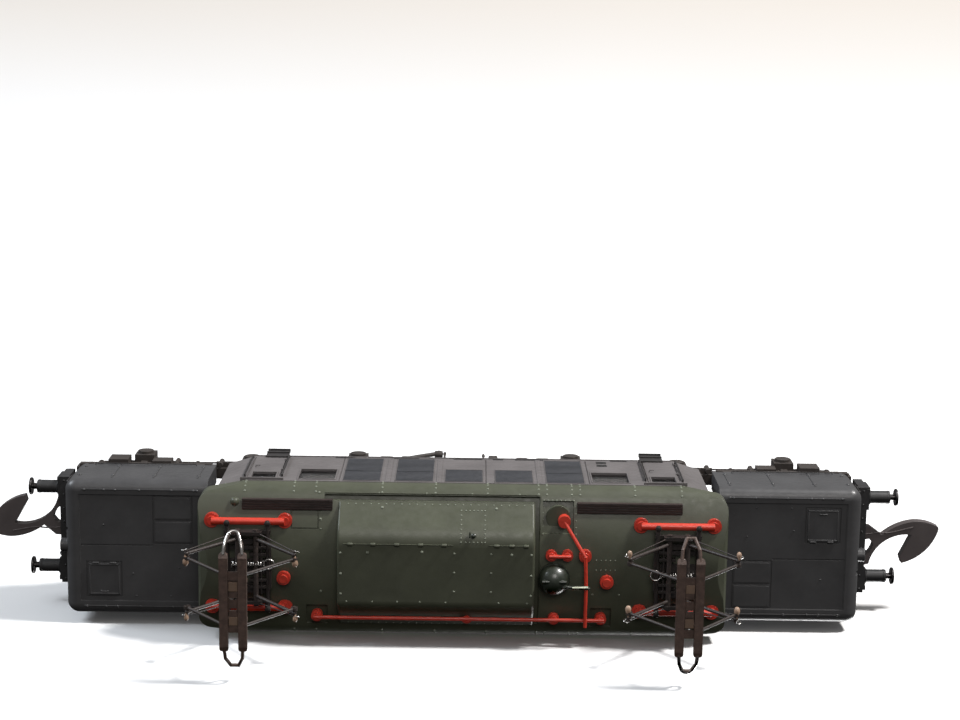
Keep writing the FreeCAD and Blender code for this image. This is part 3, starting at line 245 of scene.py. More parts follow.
def body_piece(build, slot, look=None, turned_too=False):
    """A piece of the centre body, with its turned copy in the same mesh if asked."""
    bm = bmesh.new()
    build(bm)
    if turned_too:
        copy = bm.copy()
        bmesh.ops.transform(copy, matrix=HALF_TURN, verts=copy.verts)
        merge(bm, copy)
    piece(build.__name__, bm, "centre_body", slot, look)


# ---- materials ----
def new_node(tree, kind, sockets=None, **settings):
    """New shader node with constant sockets and settings."""
    node = tree.nodes.new("ShaderNode" + kind)
    for socket, value in (sockets or {}).items():
        node.inputs[socket].default_value = value
    for key, value in settings.items():
        setattr(node, key, value)
    return node


class Nodes:
    """Short way to build a node material in object coordinates."""

    def __init__(self, name):
        self.name = name
        self.material = bpy.data.materials.new(name)
        self.material.use_nodes = True
        self.tree = self.material.node_tree
        self.shader = self.tree.nodes["Principled BSDF"]
        self.place = self.add("TexCoord").outputs["Object"]

    def add(self, kind, sockets=None, **settings):
        return new_node(self.tree, kind, sockets, **settings)

    def link(self, source, target):
        self.tree.links.new(source, target)

    def feed(self, value, socket):
        """Gives a socket a colour, a number or a link."""
        if isinstance(value, tuple):
            socket.default_value = (*value, 1.0)
        elif isinstance(value, (int, float)):
            socket.default_value = value
        else:
            self.link(value, socket)

    def noise(self, size_mm, detail=3.0, roughness=0.55):
        """Noise whose blobs are about this large."""
        scale = 1.0 / (size_mm * MM)
        node = self.add("TexNoise", {"Scale": scale, "Detail": detail, "Roughness": roughness})
        self.link(self.place, node.inputs["Vector"])
        return node.outputs["Fac"]

    def ramp(self, source, *stops):
        """Colour ramp from (position, colour or grey) stops."""
        node = self.add("ValToRGB")
        elements = node.color_ramp.elements
        while len(elements) < len(stops):
            elements.new(0.5)
        for element, (position, value) in zip(elements, stops):
            element.position = position
            colour = (value, value, value) if isinstance(value, float) else value
            element.color = (*colour, 1.0)
        self.link(source, node.inputs["Fac"])
        return node.outputs["Color"]

    def mix(self, factor, a, b):
        """Colour mix; a and b are colours or sockets."""
        node = self.add("Mix", data_type="RGBA")
        self.link(factor, node.inputs[0])
        self.feed(a, node.inputs[6])
        self.feed(b, node.inputs[7])
        return node.outputs[2]

    def math(self, operation, a, b=None):
        node = self.add("Math", operation=operation)
        self.feed(a, node.inputs[0])
        if b is not None:
            self.feed(b, node.inputs[1])
        return node.outputs[0]

    def axis(self, name, source=None):
        """One coordinate of the place, in metres."""
        node = self.add("SeparateXYZ")
        self.link(source or self.place, node.inputs[0])
        return node.outputs[name]

    def bump(self, height, depth_mm, strength=1.0, edge_mm=0.0):
        """Bump from a height of 0 to 1, over softened edges where an edge radius is given."""
        node = self.add("Bump", {"Distance": depth_mm * MM, "Strength": strength})
        self.link(height, node.inputs["Height"])
        if edge_mm:
            edge = self.add("Bevel", {"Radius": edge_mm * MM}, samples=4)
            self.link(edge.outputs[0], node.inputs["Normal"])
        self.link(node.outputs[0], self.shader.inputs["Normal"])

    def set(self, values):
        """Constant values on the shader's own sockets."""
        for socket, value in values.items():
            self.shader.inputs[socket].default_value = value

    def patches(self, size_mm, detail, low, high):
        """Two colours or greys in soft patches of about this size."""
        return self.ramp(self.noise(size_mm, detail), (0.3, low), (0.7, high))

    def drift(self, size_mm, detail, colour, low=1.0, high=1.0):
        """Colour that drifts between two multiples of itself."""
        dark, light = (tuple(c * share for c in colour) for share in (low, high))
        return self.patches(size_mm, detail, dark, light)

    def colour(self, source):
        self.link(source, self.shader.inputs["Base Color"])

    def uneven_roughness(self, size_mm, detail, smooth, rough):
        """Roughness that drifts between two values."""
        self.link(self.patches(size_mm, detail, smooth, rough), self.shader.inputs["Roughness"])


def satin(name, colour, dust=0.25, rough=(0.38, 0.55), grain_mm=0.12, edge_mm=0.1, speck=0.0):
    """Moulded or painted plastic: slight colour drift, fine grain, dust and a soft sheen."""
    m = Nodes(name)
    drift = m.drift(6.0, 4.0, colour, 0.86, 1.14)
    pale = tuple(0.5 * c + 0.045 for c in colour)
    dusty = m.mix(m.ramp(m.noise(1.1, 6.0, 0.7), (0.5, 0.0), (0.78, dust)), drift, pale)
    if speck:
        dusty = m.mix(m.ramp(m.noise(0.35, 2.0), (0.72, 0.0), (0.76, speck)), dusty, (0.3, 0.3, 0.28))
    m.colour(dusty)
    m.uneven_roughness(0.9, 5.0, *rough)
    m.set({"Specular IOR Level": 0.38})
    grain = m.math("ADD", m.noise(grain_mm, 2.0), m.math("MULTIPLY", m.noise(1.6, 3.0), 0.7))
    m.bump(grain, 0.012, 0.5, edge_mm)
    return m


def metal(name, colour, rough=(0.25, 0.45), brushed=False, edge_mm=0.05, tarnish=None):
    """Bare or plated metal with fine scratches and, if asked, tarnish in patches."""
    m = Nodes(name)
    m.set({"Metallic": 1.0})
    shade = m.drift(1.5, 5.0, colour, 0.8)
    if tarnish:
        shade = m.mix(m.ramp(m.noise(0.7, 6.0, 0.7), (0.42, 0.0), (0.62, 1.0)), shade, tarnish)
    m.colour(shade)
    m.uneven_roughness(0.5, 4.0, *rough)
    m.bump(m.noise(0.08 if brushed else 0.2, 3.0), 0.006, 0.5, edge_mm)
    return m


def bronzed(name, colour, high=(0.35, 0.27, 0.2), wear=0.35):
    """Chemically darkened metal, rubbed bright in places, with a rough surface."""
    m = Nodes(name)
    base = m.drift(0.9, 5.0, colour, 0.7, 1.3)
    worn = m.ramp(m.noise(0.4, 6.0, 0.75), (0.56, 0.0), (0.72, wear))
    m.colour(m.mix(worn, base, high))
    m.link(m.ramp(worn, (0.0, 0.0), (1.0, 0.9)), m.shader.inputs["Metallic"])
    m.uneven_roughness(0.3, 5.0, 0.35, 0.6)
    m.bump(m.noise(0.22, 5.0), 0.05, 0.6, 0.05)
    return m


def glossy(name, colour, rough=0.18, coat=0.6):
    """Glossy moulded or lacquered finish, slightly uneven."""
    m = Nodes(name)
    m.colour(m.drift(1.2, 4.0, colour, 0.75))
    m.uneven_roughness(0.6, 3.0, rough, rough + 0.15)
    m.set({"Coat Weight": coat, "Coat Roughness": 0.08})
    m.bump(m.noise(0.5, 3.0), 0.03, 0.5, 0.08)
    return m


def wheel_metal():
    """Wheelset: bright tread and flange, blackened wheel faces."""
    m = Nodes("wheel_metal")
    normal = m.add("NewGeometry").outputs["Normal"]
    facing = m.math("ABSOLUTE", m.axis("Y", normal))
    tread = m.ramp(facing, (0.45, 1.0), (0.75, 0.0))
    steel = m.patches(0.6, 5.0, (0.28, 0.27, 0.26), (0.5, 0.49, 0.47))
    black = m.patches(1.0, 5.0, (0.012, 0.012, 0.012), (0.03, 0.028, 0.026))
    m.colour(m.mix(tread, black, steel))
    m.link(tread, m.shader.inputs["Metallic"])
    m.uneven_roughness(0.5, 4.0, 0.28, 0.5)
    m.bump(m.noise(0.15, 3.0), 0.008, 0.5, 0.06)
    return m


def walkway_wood():
    """Brown painted planks with grooves along them, painted shade in the grooves, and a little grain."""
    m = Nodes("walkway_brown")
    fibres = m.add("Mapping", {"Scale": (0.12, 1.0, 1.0)})
    m.link(m.place, fibres.inputs["Vector"])
    grain = m.add("TexNoise", {"Scale": 1.0 / (0.18 * MM), "Detail": 4.0})
    m.link(fibres.outputs[0], grain.inputs["Vector"])
    shade = m.ramp(grain.outputs["Fac"], (0.3, (0.016, 0.010, 0.009)), (0.7, (0.036, 0.022, 0.019)))
    plank = m.math("FRACT", m.math("MULTIPLY", m.axis("Y"), 1.0 / (0.42 * MM)))
    groove_and_shade = m.ramp(m.math("ABSOLUTE", m.math("SUBTRACT", plank, 0.5)), (0.36, 1.0), (0.46, 0.0))
    # painted shade: the grooves between the planks are coloured near-black, while the same mask sinks them in
    # the bump
    m.colour(m.mix(groove_and_shade, (0.008, 0.005, 0.005), shade))
    m.set({"Roughness": 0.72, "Specular IOR Level": 0.3})
    height = m.math("ADD", groove_and_shade, m.math("MULTIPLY", grain.outputs["Fac"], 0.3))
    m.bump(height, 0.09, 0.8, 0.06)
    return m


def louvre_plastic():
    """Dark grey louvre panel with shallow ribs moulded across it, and painted shade in the hollows between
    the ribs.
    """
    m = Nodes("louvre_grey")
    ribs = m.math("FRACT", m.math("MULTIPLY", m.axis("Z"), 1.0 / (0.4 * MM)))
    slope = m.math("ABSOLUTE", m.math("SUBTRACT", ribs, 0.5))
    shade = m.patches(1.2, 5.0, (0.046, 0.048, 0.054), (0.062, 0.065, 0.073))
    # painted shade: the hollows between the ribs turn near-black
    rib_gap_shade = m.ramp(slope, (0.34, 0.0), (0.48, 0.55))
    m.colour(m.mix(rib_gap_shade, shade, (0.012, 0.013, 0.015)))
    m.set({"Roughness": 0.5})
    m.bump(slope, 0.10, 0.7, 0.05)
    return m


def window_glass():
    """Clear pane with a faint grey tint."""
    m = Nodes("window_clear")
    m.uneven_roughness(1.4, 4.0, 0.03, 0.09)
    m.set({"Base Color": (0.55, 0.56, 0.58, 1.0), "Transmission Weight": 1.0, "IOR": 1.3})
    m.bump(m.noise(2.0, 2.0), 0.01, 0.3)
    return m


def board_lacquer():
    """Circuit board: green lacquer with paler tracks."""
    m = Nodes("board_green")
    colours = {"Color1": (0.01, 0.07, 0.03, 1.0), "Color2": (0.015, 0.09, 0.04, 1.0),
               "Mortar": (0.05, 0.2, 0.09, 1.0)}
    tracks = m.add("TexBrick", {"Scale": 1.0 / (4.0 * MM), **colours})
    m.link(m.place, tracks.inputs["Vector"])
    m.colour(tracks.outputs["Color"])
    m.set({"Roughness": 0.3})
    m.bump(m.noise(0.4, 3.0), 0.02, 0.4, 0.08)
    return m


MATERIALS = {m.name: m.material for m in (
    satin("body_grey", (0.112, 0.103, 0.103), dust=0.35),
    satin("hood_grey", (0.052, 0.052, 0.054), dust=0.3, rough=(0.3, 0.46), grain_mm=0.16, speck=0.05),
    satin("roof_green", (0.061, 0.066, 0.045), dust=0.18, rough=(0.32, 0.5)),
    metal("die_cast", (0.36, 0.36, 0.37), rough=(0.45, 0.65), tarnish=(0.16, 0.16, 0.165)),
    satin("frame_brown", (0.036, 0.030, 0.027), dust=0.5, rough=(0.45, 0.65)),
    satin("beam_grey", (0.024, 0.024, 0.025), dust=0.4, rough=(0.4, 0.6)),
    satin("coupler_brown", (0.082, 0.070, 0.070), dust=0.2, rough=(0.36, 0.5), grain_mm=0.2),
    satin("step_grey", (0.030, 0.028, 0.028), dust=0.4),
    satin("rail_wire", (0.022, 0.020, 0.020), dust=0.2, edge_mm=0.03),
    glossy("insulator_red", (0.56, 0.040, 0.020), rough=0.34, coat=0.2),
    glossy("breaker_green", (0.018, 0.024, 0.016), rough=0.3, coat=0.4),
    metal("arm_metal", (0.42, 0.45, 0.36), rough=(0.3, 0.45)),
    # rivets paler than the paint: partly dust, partly a painted highlight on their heads
    satin("rivet_dust_and_highlight", (0.17, 0.185, 0.145), dust=0.4),
    metal("buffer_metal", (0.10, 0.095, 0.095), rough=(0.22, 0.4), tarnish=(0.03, 0.03, 0.03)),
    satin("gear_plastic", (0.62, 0.60, 0.52), dust=0.1),
    metal("brass", (0.78, 0.57, 0.25), brushed=True),
    metal("shaft_steel", (0.55, 0.55, 0.55), brushed=True),
    metal("motor_steel", (0.5, 0.5, 0.5)),
    metal("spring_steel", (0.62, 0.60, 0.58), rough=(0.15, 0.28)),
    bronzed("panto_bronze", (0.026, 0.019, 0.017), wear=0.25),
    bronzed("panto_strip", (0.070, 0.044, 0.035), wear=0.2),
    bronzed("base_dark", (0.016, 0.012, 0.011), wear=0.12),
    bronzed("copper_wear", (0.30, 0.20, 0.14), high=(0.5, 0.36, 0.25), wear=0.4),
    satin("tan_carbon", (0.15, 0.10, 0.07), dust=0.5, rough=(0.4, 0.6)),
    glossy("lens", (0.55, 0.55, 0.52), rough=0.06, coat=1.0),
    # near-black finish that paints the shade inside openings and behind windows
    satin("painted_shade_dark", (0.010, 0.010, 0.010), dust=0.2),
    wheel_metal(),
    walkway_wood(),
    louvre_plastic(),
    window_glass(),
    board_lacquer(),
)}
NODES_BY_MATERIAL = {
    "die_cast": "centre_frame bogie_frame hood_weight", "body_grey": "body_shell",
    "roof_green": "roof_shell roof_box", "walkway_brown": "roof_walkways", "louvre_grey": "side_louvres",
    "window_clear": "glazing", "rail_wire": "door_handrails", "step_grey": "door_steps",
    "insulator_red": "roof_busbar roof_conductor panto_insulators", "breaker_green": "breaker",
    "motor_steel": "motor_can", "board_green": "circuit_board", "shaft_steel": "motor_shaft",
    "brass": "flywheels worm", "frame_brown": "keeper_plate side_frames", "beam_grey": "buffer_beam",
    "hood_grey": "hood", "coupler_brown": "coupler_hook", "buffer_metal": "buffer_left buffer_right",
    "wheel_metal": "inner_wheelset middle_wheelset outer_wheelset", "gear_plastic": "inner_idler outer_idler",
    "base_dark": "panto_base", "panto_strip": "panto_head",
    "panto_bronze": "panto_lower_outer panto_lower_inner panto_upper_outer panto_upper_inner",
}


def finish_cad_nodes():
    """Gives every CAD node its material."""
    looks = {node: look for look, nodes in NODES_BY_MATERIAL.items() for node in nodes.split()}
    for name, node in NODES.items():
        plain = name.removeprefix("front_").removeprefix("rear_")
        node.data.materials.clear()
        node.data.materials.append(MATERIALS[looks[plain]])


# ---- hoods ----
HOOD_LOW, HOOD_HIGH = node_box("front_hood")
SEAMS_X = (46.0, 53.6, 60.8, 66.6)
BEAD_Y = -10.4


def hood_top_at(x, y):
    return on_surface("front_hood", (x, y, HOOD_HIGH.z + 5), (0, 0, -1))


def hood_side_at(x, z, side):
    return on_surface("front_hood", (x, side * (HOOD_HIGH.y + 5), z), (0, -side, 0))


def hood_beads(bm):
    """Raised strips: along the roof edge, and upright on both side faces."""
    for y in (BEAD_Y, -BEAD_Y):
        z = hood_top_at(56, y)[0].z
        add_box(bm, (45.6, y - 0.12, z - 0.1), (65.6, y + 0.12, z + 0.12), 0.08)
    for side in (-1, 1):
        wall = hood_side_at(56, 16, side)[0].y
        for x in SEAMS_X[:3]:
            add_side_box(bm, side, (x - 0.12, x + 0.12), (abs(wall) - 0.1, abs(wall) + 0.1),
                         (HOOD_LOW.z + 0.5, HOOD_HIGH.z - 2.2), 0.05)


def hood_rivets(bm):
    """Rivets of the roof strip, the side seams, the hatches and the front."""
    for y in (BEAD_Y, -BEAD_Y):
        for x in (65.1, 61.8, 59.8, 55.7, 50.2, 46.4, 45.8):
            point, normal = hood_top_at(x, y + 0.02)
            add_rivet(bm, point + UP * 0.1, normal, 0.22)
    for side in (-1, 1):
        for x in SEAMS_X:
            for z in (13.4, 19.6):
                point, normal = hood_side_at(x + 0.02, z, side)
                add_rivet(bm, point + normal * 0.06, normal, 0.32)
    for x in (59.6, 64.4):
        for y in (3.2, 7.9):
            add_rivet(bm, *hood_top_at(x, y), 0.26)
    for x, y in ((52.9, -8.7), (47.3, -8.7), (52.9, -1.4), (47.3, -1.4), (56.5, 8.6), (50.5, 8.6),
                 (62.0, -4.1), (57.0, 4.6), (49.0, 3.5)):
        add_rivet(bm, *hood_top_at(x, y), 0.18)
    for y in (-9.8, -6.0, -3.9, 3.9, 6.0, 9.8):
        for z in (12.2, 16.0, 20.2):
            add_rivet(bm, *on_surface("front_hood", (80, y, z), (-1, 0, 0)), 0.2)


def add_frame(bm, low, high, base, width, tall):
    """Flat rectangular rim that stands on a level surface."""
    (x0, y0), (x1, y1) = low, high
    for start, end in (((x0, y0), (x1, y0 + width)), ((x0, y1 - width), (x1, y1)),
                       ((x0, y0), (x0 + width, y1)), ((x1 - width, y0), (x1, y1))):
        add_box(bm, (*start, base), (*end, base + tall), 0.07)


def hood_hatches(bm):
    """Thin raised lids of the square hatch and of the side cover, with hinges and a handle."""
    z = hood_top_at(62.0, 5.5)[0].z
    add_box(bm, (59.35, 2.85, z - 0.05), (64.65, 8.35, z + 0.13), 0.07)
    add_frame(bm, (59.35, 2.85), (64.65, 8.35), z + 0.05, 0.26, 0.2)
    for y0, y1 in ((-9.0, -5.3), (-4.7, -1.15)):
        add_box(bm, (47.0, y0, z - 0.05), (53.1, y1, z + 0.09), 0.06)
    for x in (60.4, 63.4):
        add_lathe(bm, [(0, -0.5), (0.2, -0.5), (0.2, 0.5), (0, 0.5)], (x, 2.7, z + 0.12), (1, 0, 0), 10)
    add_tube(bm, smooth_path([(61.4, 7.7, z + 0.1), (61.5, 7.7, z + 0.42), (62.5, 7.7, z + 0.42),
                              (62.6, 7.7, z + 0.1)]), 0.09, 8)


def hood_rim_edge(bm):
    """Raised inner edge of the roof's rim."""
    z = hood_top_at(56, 0.6)[0].z
    inner_y, front = 9.55, HOOD_HIGH.x - 3.3
    for y in (-inner_y, inner_y):
        add_box(bm, (HOOD_LOW.x + 0.3, y - 0.14, z - 0.1), (front, y + 0.14, z + 0.11), 0.08)
    add_box(bm, (front - 0.28, -inner_y, z - 0.1), (front, inner_y, z + 0.11), 0.08)


def lamp_faces():
    """Centre and normal of each of the hood's three lamps."""
    return [on_surface("front_hood", (90, y, z), (-1, 0, 0))
            for y, z in ((-8.2, 14.9), (8.2, 14.9), (0.0, 21.5))]


def lamp_rims(bm):
    """Rims of the three hood lamps."""
    for point, normal in lamp_faces():
        profile = [(1.12, -0.3), (1.2, 0.0), (1.2, 0.22), (1.05, 0.3), (0.92, 0.22), (0.9, 0.0)]
        add_lathe(bm, profile, point - normal * 0.2, normal, 32)


def lamp_lenses(bm):
    """Domed lenses of the three hood lamps."""
    for point, normal in lamp_faces():
        profile = [(0.95, -0.1), (0.9, 0.0), (0.65, 0.14), (0.35, 0.21), (0, 0.23)]
        add_lathe(bm, profile, point - normal * 0.1, normal, 28)


def hood_grab_rails(bm):
    """Wire grab rails at the hood's front corners and along its foot."""
    front = HOOD_HIGH.x - 1.0
    foot = HOOD_LOW.z + 0.9
    for side in (-1, 1):
        y = side * 10.2
        add_tube(bm, [(front, y, 13.0), (front + 0.7, y, 13.0), (front + 0.7, y, 17.5), (front, y, 17.5)],
                 0.13, 8)
        wall = side * HOOD_HIGH.y
        out = wall + side * 0.3
        path = [(65.2, wall, foot), (65.2, out, foot), (47.4, out, foot), (47.4, wall, foot)]
        add_tube(bm, path, 0.1, 8)


def build_hoods():
    body = "{end}_bogie"
    for build in (hood_beads, hood_rivets, hood_hatches, hood_rim_edge, lamp_rims):
        end_pieces(build, body, "hood_grey")
    end_pieces(lamp_lenses, body, "window_clear", "lens")
    end_pieces(hood_grab_rails, body, "rail_wire")


# ---- buffer beams, couplers and bogie sides ----
BUFFER_LOW, BUFFER_HIGH = node_box("front_buffer_left")
BUFFER_Y = (BUFFER_LOW.y + BUFFER_HIGH.y) / 2
BUFFER_Z = (BUFFER_LOW.z + BUFFER_HIGH.z) / 2
BEAM_FACE = BUFFER_HIGH.x - 5.8
SLEEVE_TIP = BUFFER_HIGH.x - 1.4
WHEEL_X = [joint_place(f"front_{which}_axle_spin").x for which in ("inner", "middle", "outer")]
AXLE_Z = joint_place("front_middle_axle_spin").z
FRONT_COUPLER_REST = -4.0       # degrees that the front hook rests aside


def sleeve_rims(bm):
    """Rims of the buffer sleeves and their outer base bolts, clear of the swinging hook."""
    for y in (-BUFFER_Y, BUFFER_Y):
        profile = [(1.14, -0.5), (1.2, -0.45), (1.2, -0.2), (1.14, -0.15), (1.1, 0.03), (0.62, 0.03)]
        add_lathe(bm, profile, (SLEEVE_TIP, y, BUFFER_Z), (1, 0, 0), 32)
        add_lathe(bm, [(1.44, -0.1), (1.49, 0.0), (1.4, 0.12), (1.15, 0.16)],
                  (BEAM_FACE + 0.72, y, BUFFER_Z), (1, 0, 0), 32)
        for dz in (-1.5, 1.5):
            outer_y = y + math.copysign(1.5, y)
            add_rivet(bm, (BEAM_FACE + 0.5, outer_y, BUFFER_Z + dz), (1, 0, 0), 0.24)


def beam_fittings(bm):
    """Brake hoses with their end couplings, and rivets on the buffer beam."""
    for y in (-4.6, -3.4, 5.6):
        start = Vector((BEAM_FACE, y, 8.6))
        path = [start + Vector(step) for step in ((0, 0, 0), (0.8, 0, -0.1), (1.1, 0, -1.4), (0.9, 0, -2.9))]
        add_tube(bm, smooth_path(path), 0.2, 10)
        add_lathe(bm, [(0, 0), (0.3, 0), (0.3, 0.5), (0, 0.5)], path[-1] - UP * 0.2, (0, 0, 1), 10)
    for y in (-9.3, -4.9, 4.9, 9.3):
        for z in (6.8, 8.2, 11.4):
            add_rivet(bm, (BEAM_FACE, y, z), (1, 0, 0), 0.2)
    for y in (-9.0, -6.5, -4.0, -1.5, 1.5, 4.0, 6.5, 9.0):
        add_rivet(bm, (BEAM_FACE - 0.7, y, 12.2), (0, 0, 1), 0.2)


def axle_boxes(bm):
    """Lids, bolts and spring packs of the axle boxes, on both sides."""
    for side in (-1, 1):
        for index, x in enumerate(WHEEL_X):
            face = 12.5 if index == 1 else 13.3
            spring_top = 8.9 if index == 2 else 7.9
            add_lathe(bm, [(1.05, -0.1), (1.05, 0.02), (0.9, 0.1), (0.3, 0.14), (0, 0.1)],
                      (x, side * (face - 0.1), AXLE_Z - 0.1), (0, side, 0), 24)
            for angle in range(0, 360, 60):
                dx, dz = 0.75 * math.cos(math.radians(angle)), 0.75 * math.sin(math.radians(angle))
                add_rivet(bm, (x + dx, side * (face - 0.02), AXLE_Z - 0.1 + dz), (0, side, 0), 0.12)
            for leaf in range(5):
                half = 4.2 - leaf * 0.65
                z = spring_top - leaf * 0.3
                add_side_box(bm, side, (x - half, x + half), (10.5, 11.5), (z - 0.26, z - 0.02), 0.05)
            add_side_box(bm, side, (x - 0.6, x + 0.6), (10.4, 11.75), (7.3, spring_top + 0.1), 0.1)


def brake_gear(bm):
    """Brake shoes, sand pipes, pull rods and rivets of the side frames."""
    for side in (-1, 1):
        for x in WHEEL_X:
            for way in (-1, 1):
                start = Vector((x + way * 6.4, side * 10.2, 7.7))
                path = [start, start - UP * 2.1, start + Vector((-way * 0.5, 0, -3.7))]
                add_tube(bm, smooth_path(path), 0.2, 8)
        add_side_box(bm, side, (WHEEL_X[0] - 4.0, WHEEL_X[2] + 8.0), (10.35, 10.6), (3.3, 3.8), 0.08)
        for step in range(22):
            x = WHEEL_X[0] - 4.2 + step * 2.4
            add_rivet(bm, (x, side * 10.4, 7.2), (0, side, 0), 0.16)
        for x, width in ((45.4, 1.2), (64.5, 0.9), (66.2, 0.9)):
            add_side_box(bm, side, (x - width / 2, x + width / 2), (11.0, 12.2), (10.6, 11.5), 0.2)
        add_side_box(bm, side, (12.9, 15.3), (10.3, 12.2), (3.4, 6.3), 0.4)
        for x in (WHEEL_X[0] + 9.55, WHEEL_X[1] + 9.55, WHEEL_X[2] + 7.7):
            add_lathe(bm, [(0.62, -0.05), (0.62, 0.1), (0.45, 0.22), (0, 0.25)],
                      (x, side * 11.2, 7.7), (0, 0, 1), 16)


def coupler_details(bm, rest):
    """Raised mould rib along the coupler's shank and its pivot boss, at the hook's resting angle."""
    top = node_box("front_coupler_hook")[1].z
    pin = joint_place("front_coupler_swing")
    add_lathe(bm, [(1.7, -0.05), (1.7, 0.1), (1.5, 0.16), (1.1, 0.16)], (pin.x, pin.y, top), (0, 0, 1), 28)
    rib = [(2.2, 0.0), (8.1, 0.8), (10.6, 0.9), (14.6, 1.9)]
    add_tube(bm, smooth_path([(pin.x + x, y, top - 0.02) for x, y in rib]), 0.14, 8)
    turn = Matrix.Rotation(math.radians(rest), 3, "Z")
    bmesh.ops.rotate(bm, cent=pin, matrix=turn, verts=bm.verts)


def build_running_gear():
    for build, slot in ((sleeve_rims, "beam_grey"), (beam_fittings, "beam_grey"),
                        (axle_boxes, "frame_brown"), (brake_gear, "frame_brown")):
        end_pieces(build, "{end}_bogie", slot)
    for end, rest in (("front", FRONT_COUPLER_REST), ("rear", 0.0)):
        bm = bmesh.new()
        coupler_details(bm, rest)
        piece(f"{end}_coupler_rib", bm, f"{end}_coupler", "coupler_brown", turned=end == "rear")


# ---- centre body walls ----
WALL_Y = node_box("body_shell")[0].y
DOOR_X, WINDOW_X = 34.4, 25.2
LOUVRES = ((17.5, 3.15, 9.3), (8.5, 3.2, 9.3), (0.0, 3.2, 16.7), (-8.6, 3.2, 16.7), (-17.4, 3.2, 9.3))
LOUVRE_TOP = 25.1


def wall_frame(bm, x0, x1, z0, z1, width, proud):
    """Raised rectangular frame on the wall at -Y."""
    y0, y1 = WALL_Y - proud, WALL_Y + 0.1
    for low, high in (((x0 - width, z0 - width), (x1 + width, z0)),
                      ((x0 - width, z1), (x1 + width, z1 + width)),
                      ((x0 - width, z0), (x0, z1)), ((x1, z0), (x1 + width, z1))):
        add_box(bm, (low[0], y0, low[1]), (high[0], y1, high[1]), 0.06)


def wall_details(bm):
    """Window frames, drip rails, louvre surrounds, pilasters, hinges and rivets."""
    for x in (-DOOR_X, DOOR_X):
        wall_frame(bm, x - 2.05, x + 2.05, 20.1, 24.9, 0.28, 0.12)
        add_box(bm, (x - 3.7, WALL_Y - 0.55, 25.55), (x + 3.7, WALL_Y + 0.1, 25.85), 0.08)
        for z in (11.0, 18.0, 24.0):
            add_lathe(bm, [(0, -0.4), (0.17, -0.4), (0.17, 0.4), (0, 0.4)],
                      (x - 2.75, WALL_Y - 0.1, z), (0, 0, 1), 10)
        handle = [(x + 2.0, WALL_Y, 16.4), (x + 2.0, WALL_Y - 0.35, 16.4), (x + 1.2, WALL_Y - 0.35, 16.4)]
        add_tube(bm, handle, 0.1, 8)
    for x in (-WINDOW_X, WINDOW_X):
        wall_frame(bm, x - 3.1, x + 3.1, 17.7, 24.5, 0.25, 0.12)
    for x, half, bottom in LOUVRES:
        wall_frame(bm, x - half, x + half, bottom, LOUVRE_TOP, 0.14, 0.1)
    for x in (13.0, -13.0, 4.25):
        add_box(bm, (x - 0.45, WALL_Y - 0.08, 9.0), (x + 0.45, WALL_Y + 0.05, 25.6), 0.05)
        for step in range(14):
            add_rivet(bm, (x, WALL_Y - 0.07, 9.8 + step * 1.15), (0, -1, 0), 0.13)
    for z in (8.5, 25.95):
        for step in range(60):
            x = -35.4 + step * 1.2
            if z > 20 or abs(abs(x) - DOOR_X) > 3.2:
                add_rivet(bm, (x, WALL_Y, z - 0.05), (0, -1, 0), 0.11)
    add_box(bm, (-36.8, WALL_Y - 0.18, 8.15), (36.8, WALL_Y + 0.05, 8.35), 0.06)


def wall_vents(bm):
    """Slots low in the wall and the small vents beside the rear window, drawn as dark strips: painted shade
    of their openings.
    """
    for x0, x1 in ((8.1, 13.0), (-3.2, 1.9), (-6.9, -5.1), (-14.1, -9.0), (19.5, 23.0), (-29.0, -26.0)):
        add_box(bm, (x0, WALL_Y - 0.05, 8.5), (x1, WALL_Y + 0.2, 9.0), 0.05)
    for z in (9.5, 11.6):
        add_box(bm, (-25.2, WALL_Y - 0.05, z), (-23.4, WALL_Y + 0.2, z + 1.3), 0.05)


def underframe_details(bm):
    """Boxes, a sloping pipe and two cocks under the body's sill, between the bogies."""
    for x0, x1, low in ((9.6, 11.4, 4.4), (-11.4, -9.3, 4.4), (-6.0, -4.3, 3.2), (6.6, 8.4, 4.8)):
        add_box(bm, (x0, -12.5, low), (x1, -10.6, 8.3), 0.4)
    add_tube(bm, smooth_path([(9.8, -12.1, 4.6), (7.4, -12.3, 3.6), (5.0, -12.5, 2.7)]), 0.4, 12)
    barrel = [(0, -0.8), (0.62, -0.7), (0.72, 0), (0.62, 0.7), (0, 0.8)]
    add_lathe(bm, barrel, (4.7, -12.4, 2.7), (1, 0, 0), 16)
    for x, foot in ((3.6, 1.6), (-3.4, 2.8)):
        add_lathe(bm, [(0, 0), (0.26, 0.1), (0.3, 0.9), (0.2, 1.3), (0.2, 8.2 - foot), (0, 8.2 - foot)],
                  (x, -12.4, foot), (0, 0, 1), 12)
    add_box(bm, (-12.0, -11.4, 6.6), (12.0, -10.4, 7.4), 0.15)


def louvre_slats(bm):
    """Slats of the louvre panels, with the bar that divides the tall ones."""
    for x, half, bottom in LOUVRES:
        count = int((LOUVRE_TOP - bottom) / 0.8)
        pitch = (LOUVRE_TOP - bottom) / count
        for step in range(count):
            z = bottom + pitch * (step + 0.5)
            add_box(bm, (x - half + 0.1, WALL_Y - 0.11, z - 0.14),
                    (x + half - 0.1, WALL_Y + 0.08, z + 0.14), 0.06)
        if LOUVRE_TOP - bottom > 12:
            middle = bottom + 0.56 * (LOUVRE_TOP - bottom)
            add_box(bm, (x - half, WALL_Y - 0.16, middle - 0.16),
                    (x + half, WALL_Y + 0.05, middle + 0.16), 0.05)


